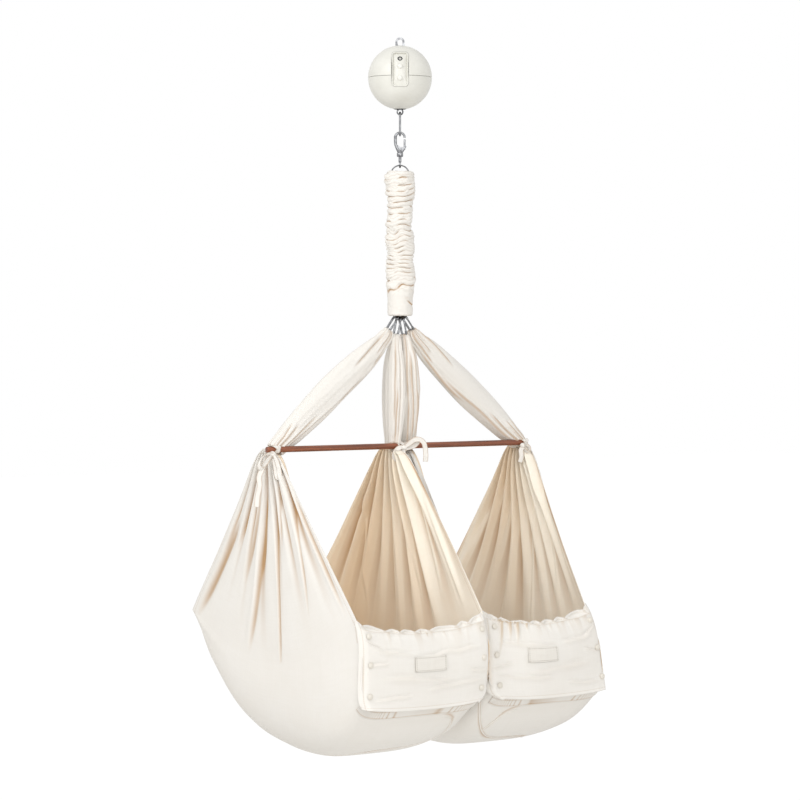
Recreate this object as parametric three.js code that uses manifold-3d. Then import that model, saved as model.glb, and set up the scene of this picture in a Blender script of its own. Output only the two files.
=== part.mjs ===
// Twin hanging baby cradle: a ball-shaped motor unit on a ceiling eye, a link, a swivel snap hook, a spring
// in a gathered sleeve, four carabiners, and two cloth hammocks tied to one wooden spreader bar.
// Millimetres, +Z up. The origin is the centre of the ceiling eye's hole. The bar runs along X, the front
// is -Y.

import * as THREE from 'three';
import { mergeVertices } from 'three/addons/utils/BufferGeometryUtils.js';
import Module from 'manifold-3d';

const wasm = await Module();
wasm.setup();

// Driving dimensions

const degree = Math.PI / 180;
const clearance = 0.3; // between pieces that touch, slide or turn
const overrun = 5; // how far a cutting shape runs past what it cuts
const faceTurn = -37 * degree; // the motor unit and the upper hardware face front left

const eye = {
  holeWidth: 10, holeHeight: 13.6, rim: 4.4, thickness: 4, depth: 24, flangeRadius: 13, flangeThickness: 3,
};
const ball = {
  radius: 65, wall: 3, centreDrop: 70.6, outletRadius: 13.5,
};
const panel = {
  width: 35.4, height: 72.6, corner: 9, rise: 13.3, lip: 1.2, lipWidth: 3, recess: 3, floor: 3,
  postRadius: 2.2,
};
const button = {
  radius: 5.3, dome: 1.6, skirt: 0.8, startRise: 19, rhythmRise: -5.3,
  domeShares: { width: 0.7, shoulder: 1.8, top: 2.2 },
};
const socket = {
  radius: 5, hole: 2.8, pin: 0.9, depth: 9, face: 0.6, topInset: 15.1, holeShare: 0.7, pinShare: 0.8,
};
const board = { width: 26, height: 30, thickness: 1.6, inset: 23, rise: 5 };
const chassis = { thickness: 3, setback: 8, armWidth: 24, armHeight: 7, armDrop: 37 };
const gearing = {
  moduleShare: 3 / 130, driveTeeth: 24, pinionTeeth: 12, width: 8, pinionAngle: 60 * degree, play: 0.2,
  toothShares: { root: 0.66, tip: 0.28, depth: 1.25 },
};
const axle = { radius: 3, headRadius: 5, headThickness: 2 };
const motor = { radiusShare: 19 / 130, lengthShare: 32 / 130, shaftRadius: 2.5, shaftReach: 3 };
const rack = { width: 7, depth: 8, stemRadius: 4.5, above: 14, below: 27 };
const bush = { radius: 6.2, flangeRadius: 7.5, flangeThickness: 1.5 };
const grommet = { bore: 11.5, lip: 2, lipThickness: 1.5 };
const screw = {
  radius: 1.6, headRadius: 3, headThickness: 2, bossRadius: 5, offset: 22, setback: 36, reach: 9,
};

const loweringEye = { halfWidth: 5.8, wireRadius: 1.8, bottom: 148, startShare: 0.62, shoulderShare: 0.75 };
const link = { length: 50.6, width: 22, wireRadius: 2.2, chamferShare: 0.29 };
const hook = {
  wireRadius: 2.8, bowRadius: 9.4, sideLength: 19, waist: 4.6, bodyDrop: 41,
  collarRadius: 6.4, collarHeight: 8, gateLength: 15.5, gateRadius: 2, pinRadius: 1, lugRadius: 3.4,
};
const swivel = {
  shankRadius: 3, headRadius: 4.6, headThickness: 2.4, drop: 10.5, eyeRadius: 5.2, eyeWire: 1.9,
};
const topRing = { radius: 18.6, wireRadius: 1.4 };
const spring = {
  radius: 13, wireRadius: 1.8, turns: 12, hookReach: 9, hookRoom: 1.5, hookShares: [-0.5, 0.95],
};
const sleeve = {
  length: 289, radius: 26.4, ruffle: 2.6, bore: 20.9, overlap: 7, reach: 4.7, cuff: 46, ruffles: 13,
  neckShare: 0.9, twistShare: 1.5, waveShares: [0.7, 0.3], secondShare: 1.7, topShare: 0.04,
};
const bottomRing = { radius: 18, wireRadius: 2.5 };

const carabiner = {
  length: 42, halfWidth: 7.6, wireRadius: 2, gateRadius: 1.8, gateShares: { top: 0.29, bottom: 0.67 },
  fan: [-38, -12.5, 12.5, 38],
};

const bar = { length: 662, radius: 6, drop: 275, forward: 15, shift: -10, chamfer: 1.2 };
const ties = { inset: 11, inner: 19 };
const ribbon = {
  width: 8, thickness: 1.5, knot: 7, loop: 20, loopWidth: 6, tail: 34, slantShare: 0.7, spreadShare: 1.5,
};
const bundle = { halfWidth: 12, halfDepth: 17, reach: 20 };
const strap = {
  outerWidth: 30, outerDepth: 16, outerSag: 30, innerWidth: 16.5, innerDepth: 28, innerSag: 2.6,
  tip: 5.5, cover: 7, straight: 30, foldShare: 0.16, foldCounts: [3, 5],
  waveShares: [0.6, 0.4], swellPower: 0.7,
};

const cloth = {
  thickness: 3, seam: 425, frontTop: 40.5 * degree, frontLow: 31.5 * degree, back: 40.5 * degree,
  folds: 4.5, tieFold: 6, seamFold: 2.4, waveShares: [0.7, 0.3], secondShare: 1.9, fadeShare: 6,
  innerSeam: 11.5,
  frontTuck: { outer: 13, inner: 22 }, backTuck: { outer: 6, inner: 34 }, belly: 5,
};
// Depth of the bowl below the bar at even fan angles from the flap's foot to the back hem.
const bowlDepths = [572, 613, 626, 615, 578, 518, 452];
const bowlPowers = { front: 5, middle: 2.5, back: 2.6 };
const flap = {
  thickness: 3, dip: 26, bulge: 12, casing: 3, casingShare: 0.11, edgeShare: 0.05, ruffles: 5.5, ruffle: 2.2,
  rise: 6, archPower: 0.7, seatShare: 0.24, lap: { outer: 5, inner: 10 }, topInset: { outer: 15, inner: 16 },
};
const snap = { radius: 6.2, dome: 2, tapeThickness: 1, capShare: 0.85, levelShares: [0.21, 0.5, 0.78] };
const label = { thickness: 1.2, columns: [6, 10], rows: [3, 4] };
const mattress = {
  thickness: 34, edgeShare: 0.3, widthShare: 0.65, taperShare: 0.12, roundPower: 4,
  front: -22 * degree, back: 24 * degree, seat: 5.2,
};

// How finely round and soft pieces are drawn

const counts = {
  ballAround: 22, ballArc: 6, wire: 6, ribbon: 4, round: 16, small: 8, bend: 8,
  springSteps: 8, springSides: 5,
  clothAlong: 16, wallDown: 6, bowlAround: 10, flapAcross: 16, flapUp: 6, strapSteps: 7, strapSides: 10,
  sleeveSteps: 30, sleeveSides: 12, cushion: 7,
};

// Places that follow from the dimensions: the lower ends of what hangs, each from the piece above it

const ballCentre = -ball.centreDrop;
const ballBottom = ballCentre - ball.radius;
const gearModule = gearing.moduleShare * ball.radius;
const drivePitch = gearModule * gearing.driveTeeth / 2;
const pinionPitch = gearModule * gearing.pinionTeeth / 2;
const rackPitchLine = rack.width / 2 + gearing.toothShares.depth * gearModule;
const driveCentre = { x: rackPitchLine + drivePitch + gearing.play, z: ballCentre };
const pinionCentre = {
  x: driveCentre.x + (drivePitch + pinionPitch + gearing.play) * Math.cos(gearing.pinionAngle),
  z: driveCentre.z + (drivePitch + pinionPitch + gearing.play) * Math.sin(gearing.pinionAngle),
};
const loweringEyeLow = -loweringEye.bottom + loweringEye.wireRadius;
const linkTop = loweringEyeLow + loweringEye.wireRadius + clearance + link.wireRadius;
const linkLow = linkTop - link.length + 2 * link.wireRadius;
const hookTop = linkLow + link.wireRadius + clearance + hook.wireRadius;
const hookBowCentre = hookTop - hook.bowRadius;
const hookFoot = hookTop - hook.bodyDrop;
const collarFoot = hookFoot - hook.collarHeight;
const swivelEyeCentre = collarFoot - swivel.drop - swivel.eyeRadius;
const ringHang = swivelEyeCentre - swivel.eyeRadius + swivel.eyeWire + clearance + topRing.wireRadius;
const topRingCentre = ringHang - topRing.radius;
const sleeveTop = topRingCentre + sleeve.overlap;
const bottomRingCentre = sleeveTop - sleeve.length + sleeve.reach;
const springTop = topRingCentre - topRing.radius - spring.hookReach;
const springFoot = bottomRingCentre + bottomRing.radius + spring.hookReach;
const barHeight = bottomRingCentre - bar.drop;
const tieReach = bar.length / 2 - ties.inset;

// Helpers

const group = new THREE.Group();
const turned = new THREE.Group();
turned.rotation.z = faceTurn;
group.add(turned);

function finish(colour, roughness, metalness) {
  return new THREE.MeshStandardMaterial({ color: colour, roughness, metalness });
}

const finishes = {
  shell: () => finish(0xdedcd2, 0.45, 0),
  innerPlastic: () => finish(0xb9b9b2, 0.6, 0),
  darkPlastic: () => finish(0x1c1c1e, 0.5, 0),
  board: () => finish(0x2f6b45, 0.55, 0),
  rubber: () => finish(0x8f8f8a, 0.85, 0),
  steel: () => finish(0x8c8e92, 0.35, 1),
  darkSteel: () => finish(0x5a5d63, 0.4, 1),
  brass: () => finish(0xb08d4a, 0.35, 1),
  wood: () => finish(0x6e3c28, 0.5, 0),
  cloth: () => finish(0xeee9e2, 0.95, 0),
  cushion: () => finish(0xf1ece2, 0.95, 0),
  label: () => finish(0xe4ded2, 0.8, 0),
};

function addMesh(parent, name, geometry, material) {
  const mesh = new THREE.Mesh(geometry, material);
  mesh.name = name;
  parent.add(mesh);
  return mesh;
}

function plainGeometry(geometry) {
  const plain = geometry.clone();
  plain.deleteAttribute('normal');
  plain.deleteAttribute('uv');
  return mergeVertices(plain);
}

function solidOf(geometry) {
  const merged = plainGeometry(geometry);
  const vertProperties = new Float32Array(merged.attributes.position.array);
  const triVerts = new Uint32Array(merged.index.array);
  return new wasm.Manifold(new wasm.Mesh({ numProp: 3, vertProperties, triVerts }));
}

function geometryOf(solid) {
  const mesh = solid.getMesh();
  const geometry = new THREE.BufferGeometry();
  geometry.setAttribute('position', new THREE.BufferAttribute(new Float32Array(mesh.vertProperties), 3));
  geometry.setIndex(new THREE.BufferAttribute(new Uint32Array(mesh.triVerts), 1));
  geometry.computeVertexNormals();
  return geometry;
}

function joined(...geometries) {
  return geometryOf(geometries.map(solidOf).reduce((whole, piece) => whole.add(piece)));
}

function cut(geometry, ...tools) {
  return geometryOf(tools.map(solidOf).reduce((whole, tool) => whole.subtract(tool), solidOf(geometry)));
}

function common(first, second) {
  return geometryOf(solidOf(first).intersect(solidOf(second)));
}

function moved(geometry, x, y, z) {
  return geometry.clone().translate(x, y, z);
}

// A round solid about +Z from its outline of [radius, height] pairs.
function revolved(outline, segments) {
  const points = outline.map(([radius, height]) => new THREE.Vector2(radius, height));
  const geometry = new THREE.LatheGeometry([...points, points[0]], segments);
  geometry.rotateX(Math.PI / 2);
  return outwards(geometry);
}

function disc(radius, low, high, segments = counts.round) {
  return revolved([[0, low], [radius, low], [radius, high], [0, high]], segments);
}

function tubeRing(inner, outer, low, high, segments = counts.round) {
  return revolved([[inner, low], [outer, low], [outer, high], [inner, high]], segments);
}

// Turns a solid made about +Z so that it lies along +Y.
function alongY(geometry) {
  return geometry.clone().rotateX(-Math.PI / 2);
}

function block(width, depth, height, x, y, z) {
  return new THREE.BoxGeometry(width, depth, height).translate(x, y, z);
}

function signedVolume(geometry) {
  const position = geometry.attributes.position;
  const index = geometry.index;
  const corner = (i) => new THREE.Vector3().fromBufferAttribute(position, index.getX(i));
  let total = 0;
  for (let i = 0; i < index.count; i += 3) {
    total += corner(i).dot(corner(i + 1).cross(corner(i + 2)));
  }
  return total;
}

function outwards(geometry) {
  const merged = plainGeometry(geometry);
  if (signedVolume(merged) < 0) {
    const list = merged.index.array;
    for (let i = 0; i < list.length; i += 3) {
      [list[i], list[i + 1]] = [list[i + 1], list[i]];
    }
  }
  merged.computeVertexNormals();
  return merged;
}

// A round wire along an open curve.
function wire(curve, radius, sides, steps) {
  const section = new THREE.Shape();
  for (let i = 0; i < sides; i += 1) {
    const angle = 2 * Math.PI * i / sides;
    const place = [radius * Math.cos(angle), radius * Math.sin(angle)];
    if (i === 0) section.moveTo(...place);
    else section.lineTo(...place);
  }
  section.closePath();
  return new THREE.ExtrudeGeometry(section, { steps, extrudePath: curve, curveSegments: 1 });
}

function curveThrough(points) {
  const vectors = points.map((point) => new THREE.Vector3(...point));
  return new THREE.CatmullRomCurve3(vectors, false, 'centripetal');
}

// A flat plate in the XZ plane, centred on Y, from a shape drawn in x and z.
function plate(shape, thickness, bevel = 0) {
  const geometry = new THREE.ExtrudeGeometry(shape, {
    depth: thickness - 2 * bevel, bevelEnabled: bevel > 0, bevelThickness: bevel, bevelSize: bevel,
    bevelOffset: -bevel, bevelSegments: 1, curveSegments: counts.bend / 2,
  });
  geometry.translate(0, 0, -(thickness - 2 * bevel) / 2);
  geometry.rotateX(Math.PI / 2);
  return geometry;
}

function roundedBox(width, height, corner, rise = 0) {
  const shape = new THREE.Shape();
  const x = width / 2 - corner;
  const low = rise - height / 2 + corner;
  const high = rise + height / 2 - corner;
  shape.absarc(x, high, corner, 0, Math.PI / 2);
  shape.absarc(-x, high, corner, Math.PI / 2, Math.PI);
  shape.absarc(-x, low, corner, Math.PI, 1.5 * Math.PI);
  shape.absarc(x, low, corner, 1.5 * Math.PI, 2 * Math.PI);
  shape.closePath();
  return shape;
}

// A closed solid through rings of points, with a flat cap on the first ring and on the last.
function gridSolid(pointAt, steps, sides) {
  const positions = [];
  const index = [];
  for (let i = 0; i <= steps; i += 1) {
    for (let j = 0; j < sides; j += 1) {
      positions.push(...pointAt(i / steps, j / sides));
    }
  }
  const at = (i, j) => i * sides + (j % sides);
  for (let i = 0; i < steps; i += 1) {
    for (let j = 0; j < sides; j += 1) {
      index.push(at(i, j), at(i + 1, j), at(i + 1, j + 1), at(i, j), at(i + 1, j + 1), at(i, j + 1));
    }
  }
  const capAt = (i, flip) => {
    const centre = positions.length / 3;
    const middle = [0, 0, 0];
    for (let j = 0; j < sides; j += 1) {
      for (let k = 0; k < 3; k += 1) {
        middle[k] += positions[3 * at(i, j) + k] / sides;
      }
    }
    positions.push(...middle);
    for (let j = 0; j < sides; j += 1) {
      if (flip) index.push(centre, at(i, j), at(i, j + 1));
      else index.push(centre, at(i, j + 1), at(i, j));
    }
  };
  capAt(0, true);
  capAt(steps, false);
  return outwards(bufferGeometry(positions, index));
}

function bufferGeometry(positions, index) {
  const geometry = new THREE.BufferGeometry();
  geometry.setAttribute('position', new THREE.Float32BufferAttribute(positions, 3));
  geometry.setIndex(index);
  return geometry;
}

// A tube whose wall runs up the outside and down the bore, closed on itself both ways.
function ringSolid(pointAt, loop, sides) {
  const positions = [];
  const index = [];
  for (let i = 0; i < loop; i += 1) {
    for (let j = 0; j < sides; j += 1) {
      positions.push(...pointAt(i, j / sides));
    }
  }
  const at = (i, j) => (i % loop) * sides + (j % sides);
  for (let i = 0; i < loop; i += 1) {
    for (let j = 0; j < sides; j += 1) {
      index.push(at(i, j), at(i + 1, j), at(i + 1, j + 1), at(i, j), at(i + 1, j + 1), at(i, j + 1));
    }
  }
  return outwards(bufferGeometry(positions, index));
}

// A thin closed sheet of the given thickness about a surface of two shares.
function sheetSolid(pointAt, across, along, thicknessAt) {
  const nudge = 1 / 1024;
  const vectorAt = (a, b) => new THREE.Vector3(...pointAt(a, b));
  const normalAt = (a, b) => {
    const [a0, a1] = [Math.max(a - nudge, 0), Math.min(a + nudge, 1)];
    const [b0, b1] = [Math.max(b - nudge, 0), Math.min(b + nudge, 1)];
    const sideways = vectorAt(a1, b).sub(vectorAt(a0, b));
    const lengthways = vectorAt(a, b1).sub(vectorAt(a, b0));
    return sideways.cross(lengthways).normalize();
  };
  const positions = [];
  for (const side of [1, -1]) {
    for (let i = 0; i <= across; i += 1) {
      for (let j = 0; j <= along; j += 1) {
        const [a, b] = [i / across, j / along];
        const point = vectorAt(a, b).addScaledVector(normalAt(a, b), side * thicknessAt(a, b) / 2);
        positions.push(point.x, point.y, point.z);
      }
    }
  }
  const layer = (across + 1) * (along + 1);
  const at = (i, j, under) => i * (along + 1) + j + (under ? layer : 0);
  const index = [];
  for (let i = 0; i < across; i += 1) {
    for (let j = 0; j < along; j += 1) {
      index.push(at(i, j), at(i + 1, j), at(i + 1, j + 1), at(i, j), at(i + 1, j + 1), at(i, j + 1));
      index.push(at(i, j, 1), at(i + 1, j + 1, 1), at(i + 1, j, 1));
      index.push(at(i, j, 1), at(i, j + 1, 1), at(i + 1, j + 1, 1));
    }
  }
  const rim = (first, second) => {
    index.push(at(...second), at(...first), at(...first, 1));
    index.push(at(...second), at(...first, 1), at(...second, 1));
  };
  for (let i = 0; i < across; i += 1) {
    rim([i, 0], [i + 1, 0]);
    rim([i + 1, along], [i, along]);
  }
  for (let j = 0; j < along; j += 1) {
    rim([0, j + 1], [0, j]);
    rim([across, j], [across, j + 1]);
  }
  return outwards(bufferGeometry(positions, index));
}

const mix = THREE.MathUtils.lerp;
const smooth = (share) => THREE.MathUtils.smoothstep(share, 0, 1);

// Motor unit

// Facets of the ball lie this share of its radius from its centre.
const facetShare = Math.cos(Math.PI / counts.ballAround) * Math.cos(Math.PI / 4 / counts.ballArc);
const innerFlat = (ball.radius - ball.wall) * facetShare;

function ballPoint(radius, angle) {
  return [radius * Math.cos(angle), ballCentre + radius * Math.sin(angle)];
}

function halfShell(sign) {
  const inner = ball.radius - ball.wall;
  const arc = (radius, from, to) => Array.from({ length: counts.ballArc + 1 }, (_, i) => (
    ballPoint(radius, mix(from, to, i / counts.ballArc))
  ));
  const seamAngle = (radius) => sign * Math.asin(clearance / 2 / radius);
  const pole = sign * Math.PI / 2;
  const outline = [
    ...arc(ball.radius, seamAngle(ball.radius), pole),
    ...arc(inner, pole, seamAngle(inner)),
  ];
  return revolved(outline, counts.ballAround);
}

function panelPrism(grow, near, far) {
  const shape = roundedBox(panel.width + 2 * grow, panel.height + 2 * grow, panel.corner + grow, panel.rise);
  return plate(shape, far - near).translate(0, -(near + far) / 2, ballCentre);
}

function ballOf(radius) {
  const sphere = new THREE.SphereGeometry(radius, counts.ballAround, 2 * counts.ballArc);
  return moved(sphere.rotateX(Math.PI / 2), 0, 0, ballCentre);
}

const windowTool = panelPrism(clearance, ball.radius / 4, ball.radius + overrun);
const slotTool = block(
  eye.holeWidth + 2 * eye.rim + 2 * clearance, eye.thickness + 2 * clearance, ball.radius / 2,
  0, 0, ballCentre + ball.radius,
);
const outletTool = disc(ball.outletRadius, ballBottom - overrun, ballCentre - ball.radius / 2);
const screwPlaces = [-screw.offset, screw.offset];
const bossTop = ballCentre + screw.reach;
const screwHeadLow = ballCentre - 2 * screw.reach;

function screwBoss(x, low, high) {
  return moved(disc(screw.bossRadius, low, high, counts.wire), x, screw.setback, 0);
}

function screwBore(x, radius, low, high) {
  return moved(disc(radius + clearance, low, high, counts.wire), x, screw.setback, 0);
}

function upperShell() {
  const bosses = screwPlaces.map((x) => screwBoss(x, ballCentre + clearance / 2, bossTop + screw.reach));
  const fins = screwPlaces.map((x) => block(
    screw.radius, ball.radius, screw.reach, x, ball.radius, bossTop + screw.reach / 2,
  ));
  const inside = [...bosses, ...fins].map((piece) => common(piece, ballOf(ball.radius - ball.wall / 2)));
  const bores = screwPlaces.map((x) => screwBore(x, screw.radius, ballCentre - overrun, bossTop));
  return cut(joined(halfShell(1), ...inside), windowTool, slotTool, ...bores);
}

function lowerShell() {
  const bosses = screwPlaces.map((x) => screwBoss(x, ballCentre - ball.radius, ballCentre - clearance / 2));
  const inside = bosses.map((piece) => common(piece, ballOf(ball.radius - ball.wall / 2)));
  const bores = screwPlaces.map((x) => screwBore(x, screw.radius, screwHeadLow, ballCentre + overrun));
  const headBores = screwPlaces.map((x) => screwBore(x, screw.headRadius, ballBottom, screwHeadLow));
  return cut(joined(halfShell(-1), ...inside), windowTool, outletTool, ...bores, ...headBores);
}

function shellScrew(x) {
  const headFoot = screwHeadLow - screw.headThickness - clearance;
  const outline = [
    [0, headFoot], [screw.headRadius, headFoot],
    [screw.headRadius, screwHeadLow - clearance], [screw.radius, screwHeadLow - clearance],
    [screw.radius, bossTop - clearance], [0, bossTop - clearance],
  ];
  return moved(revolved(outline, counts.wire), x, screw.setback, 0);
}

// A place on the panel's floor at a height above the ball's centre, and its outward direction in the YZ plane.
function panelAngle(rise) {
  return Math.asin(rise / (ball.radius - panel.recess));
}

function onPanel(geometry, rise) {
  const angle = panelAngle(rise);
  const reach = ball.radius - panel.recess;
  return geometry.clone().rotateX(Math.PI / 2 - angle).translate(
    0, -reach * Math.cos(angle), ballCentre + reach * Math.sin(angle),
  );
}

const boardBack = board.inset - ball.radius;
const boardFront = boardBack - board.thickness;
const boardMiddle = ballCentre + board.rise;
const socketRise = panel.rise + panel.height / 2 - socket.topInset;

function controlPanel() {
  const outerFace = ball.radius + panel.lip;
  const floorFace = ball.radius - panel.recess;
  const back = floorFace - panel.floor;
  const body = cut(common(ballOf(outerFace), panelPrism(0, ball.radius / 3, outerFace)), ballOf(back));
  const well = cut(panelPrism(-panel.lipWidth, ball.radius / 3, outerFace + overrun), ballOf(floorFace));
  const posts = [-1, 1].map((side) => {
    const post = alongY(disc(panel.postRadius, -floorFace, boardFront - clearance, counts.wire));
    const x = side * (board.width / 2 - panel.postRadius);
    return common(moved(post, x, 0, boardMiddle), ballOf(floorFace));
  });
  const holes = [button.startRise, button.rhythmRise].map((rise) => (
    onPanel(disc(button.radius + clearance, -3 * panel.floor, overrun, counts.small), rise)
  ));
  const socketHole = onPanel(disc(socket.radius + clearance, -3 * panel.floor, overrun), socketRise);
  return cut(joined(cut(body, well), ...posts), ...holes, socketHole);
}

function pushButton(rise) {
  const foot = -panel.floor - button.skirt;
  const { width, shoulder, top } = button.domeShares;
  const outline = [
    [0, foot], [button.radius, foot], [button.radius, button.dome],
    [button.radius * width, button.dome * shoulder], [0, button.dome * top],
  ];
  return onPanel(revolved(outline, counts.small), rise);
}

function powerSocket() {
  const body = disc(socket.radius, -socket.depth, socket.face);
  const hole = disc(socket.hole, socket.face - socket.depth * socket.holeShare, socket.face + overrun);
  const pin = disc(socket.pin, -socket.depth * socket.pinShare, -clearance, counts.wire);
  return onPanel(joined(cut(body, hole), pin), socketRise);
}

function ceilingEye() {
  const halfWidth = eye.holeWidth / 2 + eye.rim;
  const bend = eye.holeHeight / 2 + eye.rim - halfWidth;
  const shape = new THREE.Shape();
  shape.absarc(0, bend, halfWidth, 0, Math.PI);
  shape.lineTo(-halfWidth, -eye.depth);
  shape.lineTo(halfWidth, -eye.depth);
  shape.closePath();
  const hole = new THREE.Path();
  const holeBend = (eye.holeHeight - eye.holeWidth) / 2;
  hole.absarc(0, holeBend, eye.holeWidth / 2, 0, Math.PI);
  hole.absarc(0, -holeBend, eye.holeWidth / 2, Math.PI, 2 * Math.PI);
  shape.holes.push(hole);
  const roof = ballCentre + Math.sqrt(innerFlat ** 2 - eye.flangeRadius ** 2) - clearance;
  return joined(plate(shape, eye.thickness), disc(eye.flangeRadius, roof - eye.flangeThickness, roof));
}

// Outline of a gear or rack tooth row: straight flanks between a root line and a tip line.
function gearBlank(teeth, boreRadius, turn) {
  const pitch = gearModule * teeth / 2;
  const rootRadius = pitch - gearing.toothShares.depth * gearModule;
  const tipRadius = pitch + gearModule;
  const shape = new THREE.Shape();
  const step = 2 * Math.PI / teeth;
  const place = (radius, angle) => [radius * Math.cos(angle), radius * Math.sin(angle)];
  for (let i = 0; i < teeth; i += 1) {
    const middle = turn + i * step;
    const corners = [
      place(rootRadius, middle - step * gearing.toothShares.root / 2),
      place(tipRadius, middle - step * gearing.toothShares.tip / 2),
      place(tipRadius, middle + step * gearing.toothShares.tip / 2),
      place(rootRadius, middle + step * gearing.toothShares.root / 2),
    ];
    corners.forEach((corner, j) => (i + j === 0 ? shape.moveTo(...corner) : shape.lineTo(...corner)));
  }
  shape.closePath();
  const bore = new THREE.Path();
  bore.absarc(0, 0, boreRadius, 0, 2 * Math.PI);
  shape.holes.push(bore);
  return plate(shape, gearing.width);
}

function driveGear() {
  const blank = gearBlank(gearing.driveTeeth, axle.radius + clearance, 0);
  return moved(blank, driveCentre.x, 0, driveCentre.z);
}

function motorPinion() {
  const turn = gearing.pinionAngle + Math.PI + Math.PI / gearing.pinionTeeth;
  const blank = gearBlank(gearing.pinionTeeth, motor.shaftRadius + clearance, turn);
  return moved(blank, pinionCentre.x, 0, pinionCentre.z);
}

function liftRack() {
  const pitch = Math.PI * gearModule;
  const [low, high] = [driveCentre.z - rack.below, driveCentre.z + rack.above];
  const [back, root, tip] = [-rack.width / 2, rack.width / 2, rackPitchLine + gearModule];
  const shape = new THREE.Shape();
  shape.moveTo(back, high);
  shape.lineTo(back, low);
  shape.lineTo(root, low);
  const first = Math.ceil((low - driveCentre.z) / pitch + 1) - 0.5;
  const last = (high - driveCentre.z) / pitch - 1;
  for (let i = first; i < last; i += 1) {
    const middle = driveCentre.z + i * pitch;
    shape.lineTo(root, middle - pitch * gearing.toothShares.root / 2);
    shape.lineTo(tip, middle - pitch * gearing.toothShares.tip / 2);
    shape.lineTo(tip, middle + pitch * gearing.toothShares.tip / 2);
    shape.lineTo(root, middle + pitch * gearing.toothShares.root / 2);
  }
  shape.lineTo(root, high);
  shape.closePath();
  const bend = loweringEyeLow + loweringEye.halfWidth;
  const top = bend + loweringEye.halfWidth;
  const loop = [[0, 0, top + loweringEye.wireRadius]];
  for (let i = 0; i <= counts.bend; i += 1) {
    const angle = mix(Math.PI * loweringEye.startShare, 2 * Math.PI, i / counts.bend);
    loop.push([loweringEye.halfWidth * Math.cos(angle), 0, bend + loweringEye.halfWidth * Math.sin(angle)]);
  }
  const shoulder = loweringEye.halfWidth * loweringEye.shoulderShare;
  loop.push([shoulder, 0, bend + shoulder], [0, 0, top + loweringEye.wireRadius]);
  const eyeWire = wire(curveThrough(loop), loweringEye.wireRadius, counts.wire, 2 * counts.bend);
  const stem = disc(rack.stemRadius, top - loweringEye.wireRadius, low + rack.stemRadius, counts.wire);
  return joined(plate(shape, rack.depth), stem, eyeWire);
}

const chassisFront = chassis.setback;
const chassisBack = chassis.setback + chassis.thickness;
const armLow = ballCentre - chassis.armDrop;
const armHigh = armLow + chassis.armHeight;

function chassisPlate() {
  const discRadius = Math.sqrt(innerFlat ** 2 - chassisBack ** 2) - clearance;
  const round = disc(discRadius, chassisFront, chassisBack, counts.ballAround);
  const flat = moved(alongY(round), 0, 0, ballCentre);
  const arm = block(
    chassis.armWidth, chassisBack + bush.radius + chassis.thickness, chassis.armHeight,
    0, (chassisBack - bush.radius - chassis.thickness) / 2, (armLow + armHigh) / 2,
  );
  const guideDepth = chassisFront - rack.depth / 2 - clearance;
  const guide = block(
    rack.width, guideDepth + chassis.thickness, rack.above,
    0, rack.depth / 2 + clearance + (guideDepth + chassis.thickness) / 2, ballCentre,
  );
  const eyeRoom = block(
    2 * eye.flangeRadius + 2 * clearance, 2 * chassisBack + overrun, ball.radius / 2,
    0, 0, ballCentre + ball.radius - eye.depth + ball.radius / 4 - chassis.thickness,
  );
  const bushHole = disc(bush.radius + clearance, armLow - overrun, armHigh + overrun);
  const lipRadius = ball.outletRadius + grommet.lip;
  const outletRoom = disc(lipRadius + 2 * clearance, ballBottom, armLow - chassis.thickness);
  const axleHole = moved(
    alongY(disc(axle.radius + clearance, 0, chassisBack + overrun)), driveCentre.x, 0, driveCentre.z,
  );
  const shaftHole = moved(
    alongY(disc(motor.shaftRadius + clearance, 0, chassisBack + overrun)), pinionCentre.x, 0, pinionCentre.z,
  );
  return cut(joined(flat, arm, guide), eyeRoom, bushHole, outletRoom, axleHole, shaftHole);
}

function gearAxle() {
  const front = -gearing.width / 2 - clearance;
  const outline = [
    [0, front - axle.headThickness], [axle.headRadius, front - axle.headThickness], [axle.headRadius, front],
    [axle.radius, front], [axle.radius, chassisBack], [0, chassisBack],
  ];
  return moved(alongY(revolved(outline, counts.round)), driveCentre.x, 0, driveCentre.z);
}

function gearMotor() {
  const front = chassisBack + clearance;
  const body = disc(motor.radiusShare * ball.radius, front, front + motor.lengthShare * ball.radius);
  const shaft = disc(motor.shaftRadius, -gearing.width / 2, front + motor.shaftReach);
  return moved(alongY(joined(body, shaft)), pinionCentre.x, 0, pinionCentre.z);
}

function guideBush() {
  const bore = rack.stemRadius + clearance;
  return revolved([
    [bore, armLow], [bush.radius, armLow], [bush.radius, armHigh + clearance],
    [bush.flangeRadius, armHigh + clearance], [bush.flangeRadius, armHigh + clearance + bush.flangeThickness],
    [bore, armHigh + clearance + bush.flangeThickness],
  ], counts.round);
}

function outletGrommet() {
  const outer = ball.outletRadius - clearance;
  const shellTop = ballCentre - Math.sqrt(innerFlat ** 2 - (outer + grommet.lip) ** 2) + clearance;
  return revolved([
    [grommet.bore, ballBottom + clearance], [outer, ballBottom + ball.wall / 2], [outer, shellTop],
    [outer + grommet.lip, shellTop], [outer + grommet.lip, shellTop + grommet.lipThickness],
    [grommet.bore, shellTop + grommet.lipThickness],
  ], counts.round);
}

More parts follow.
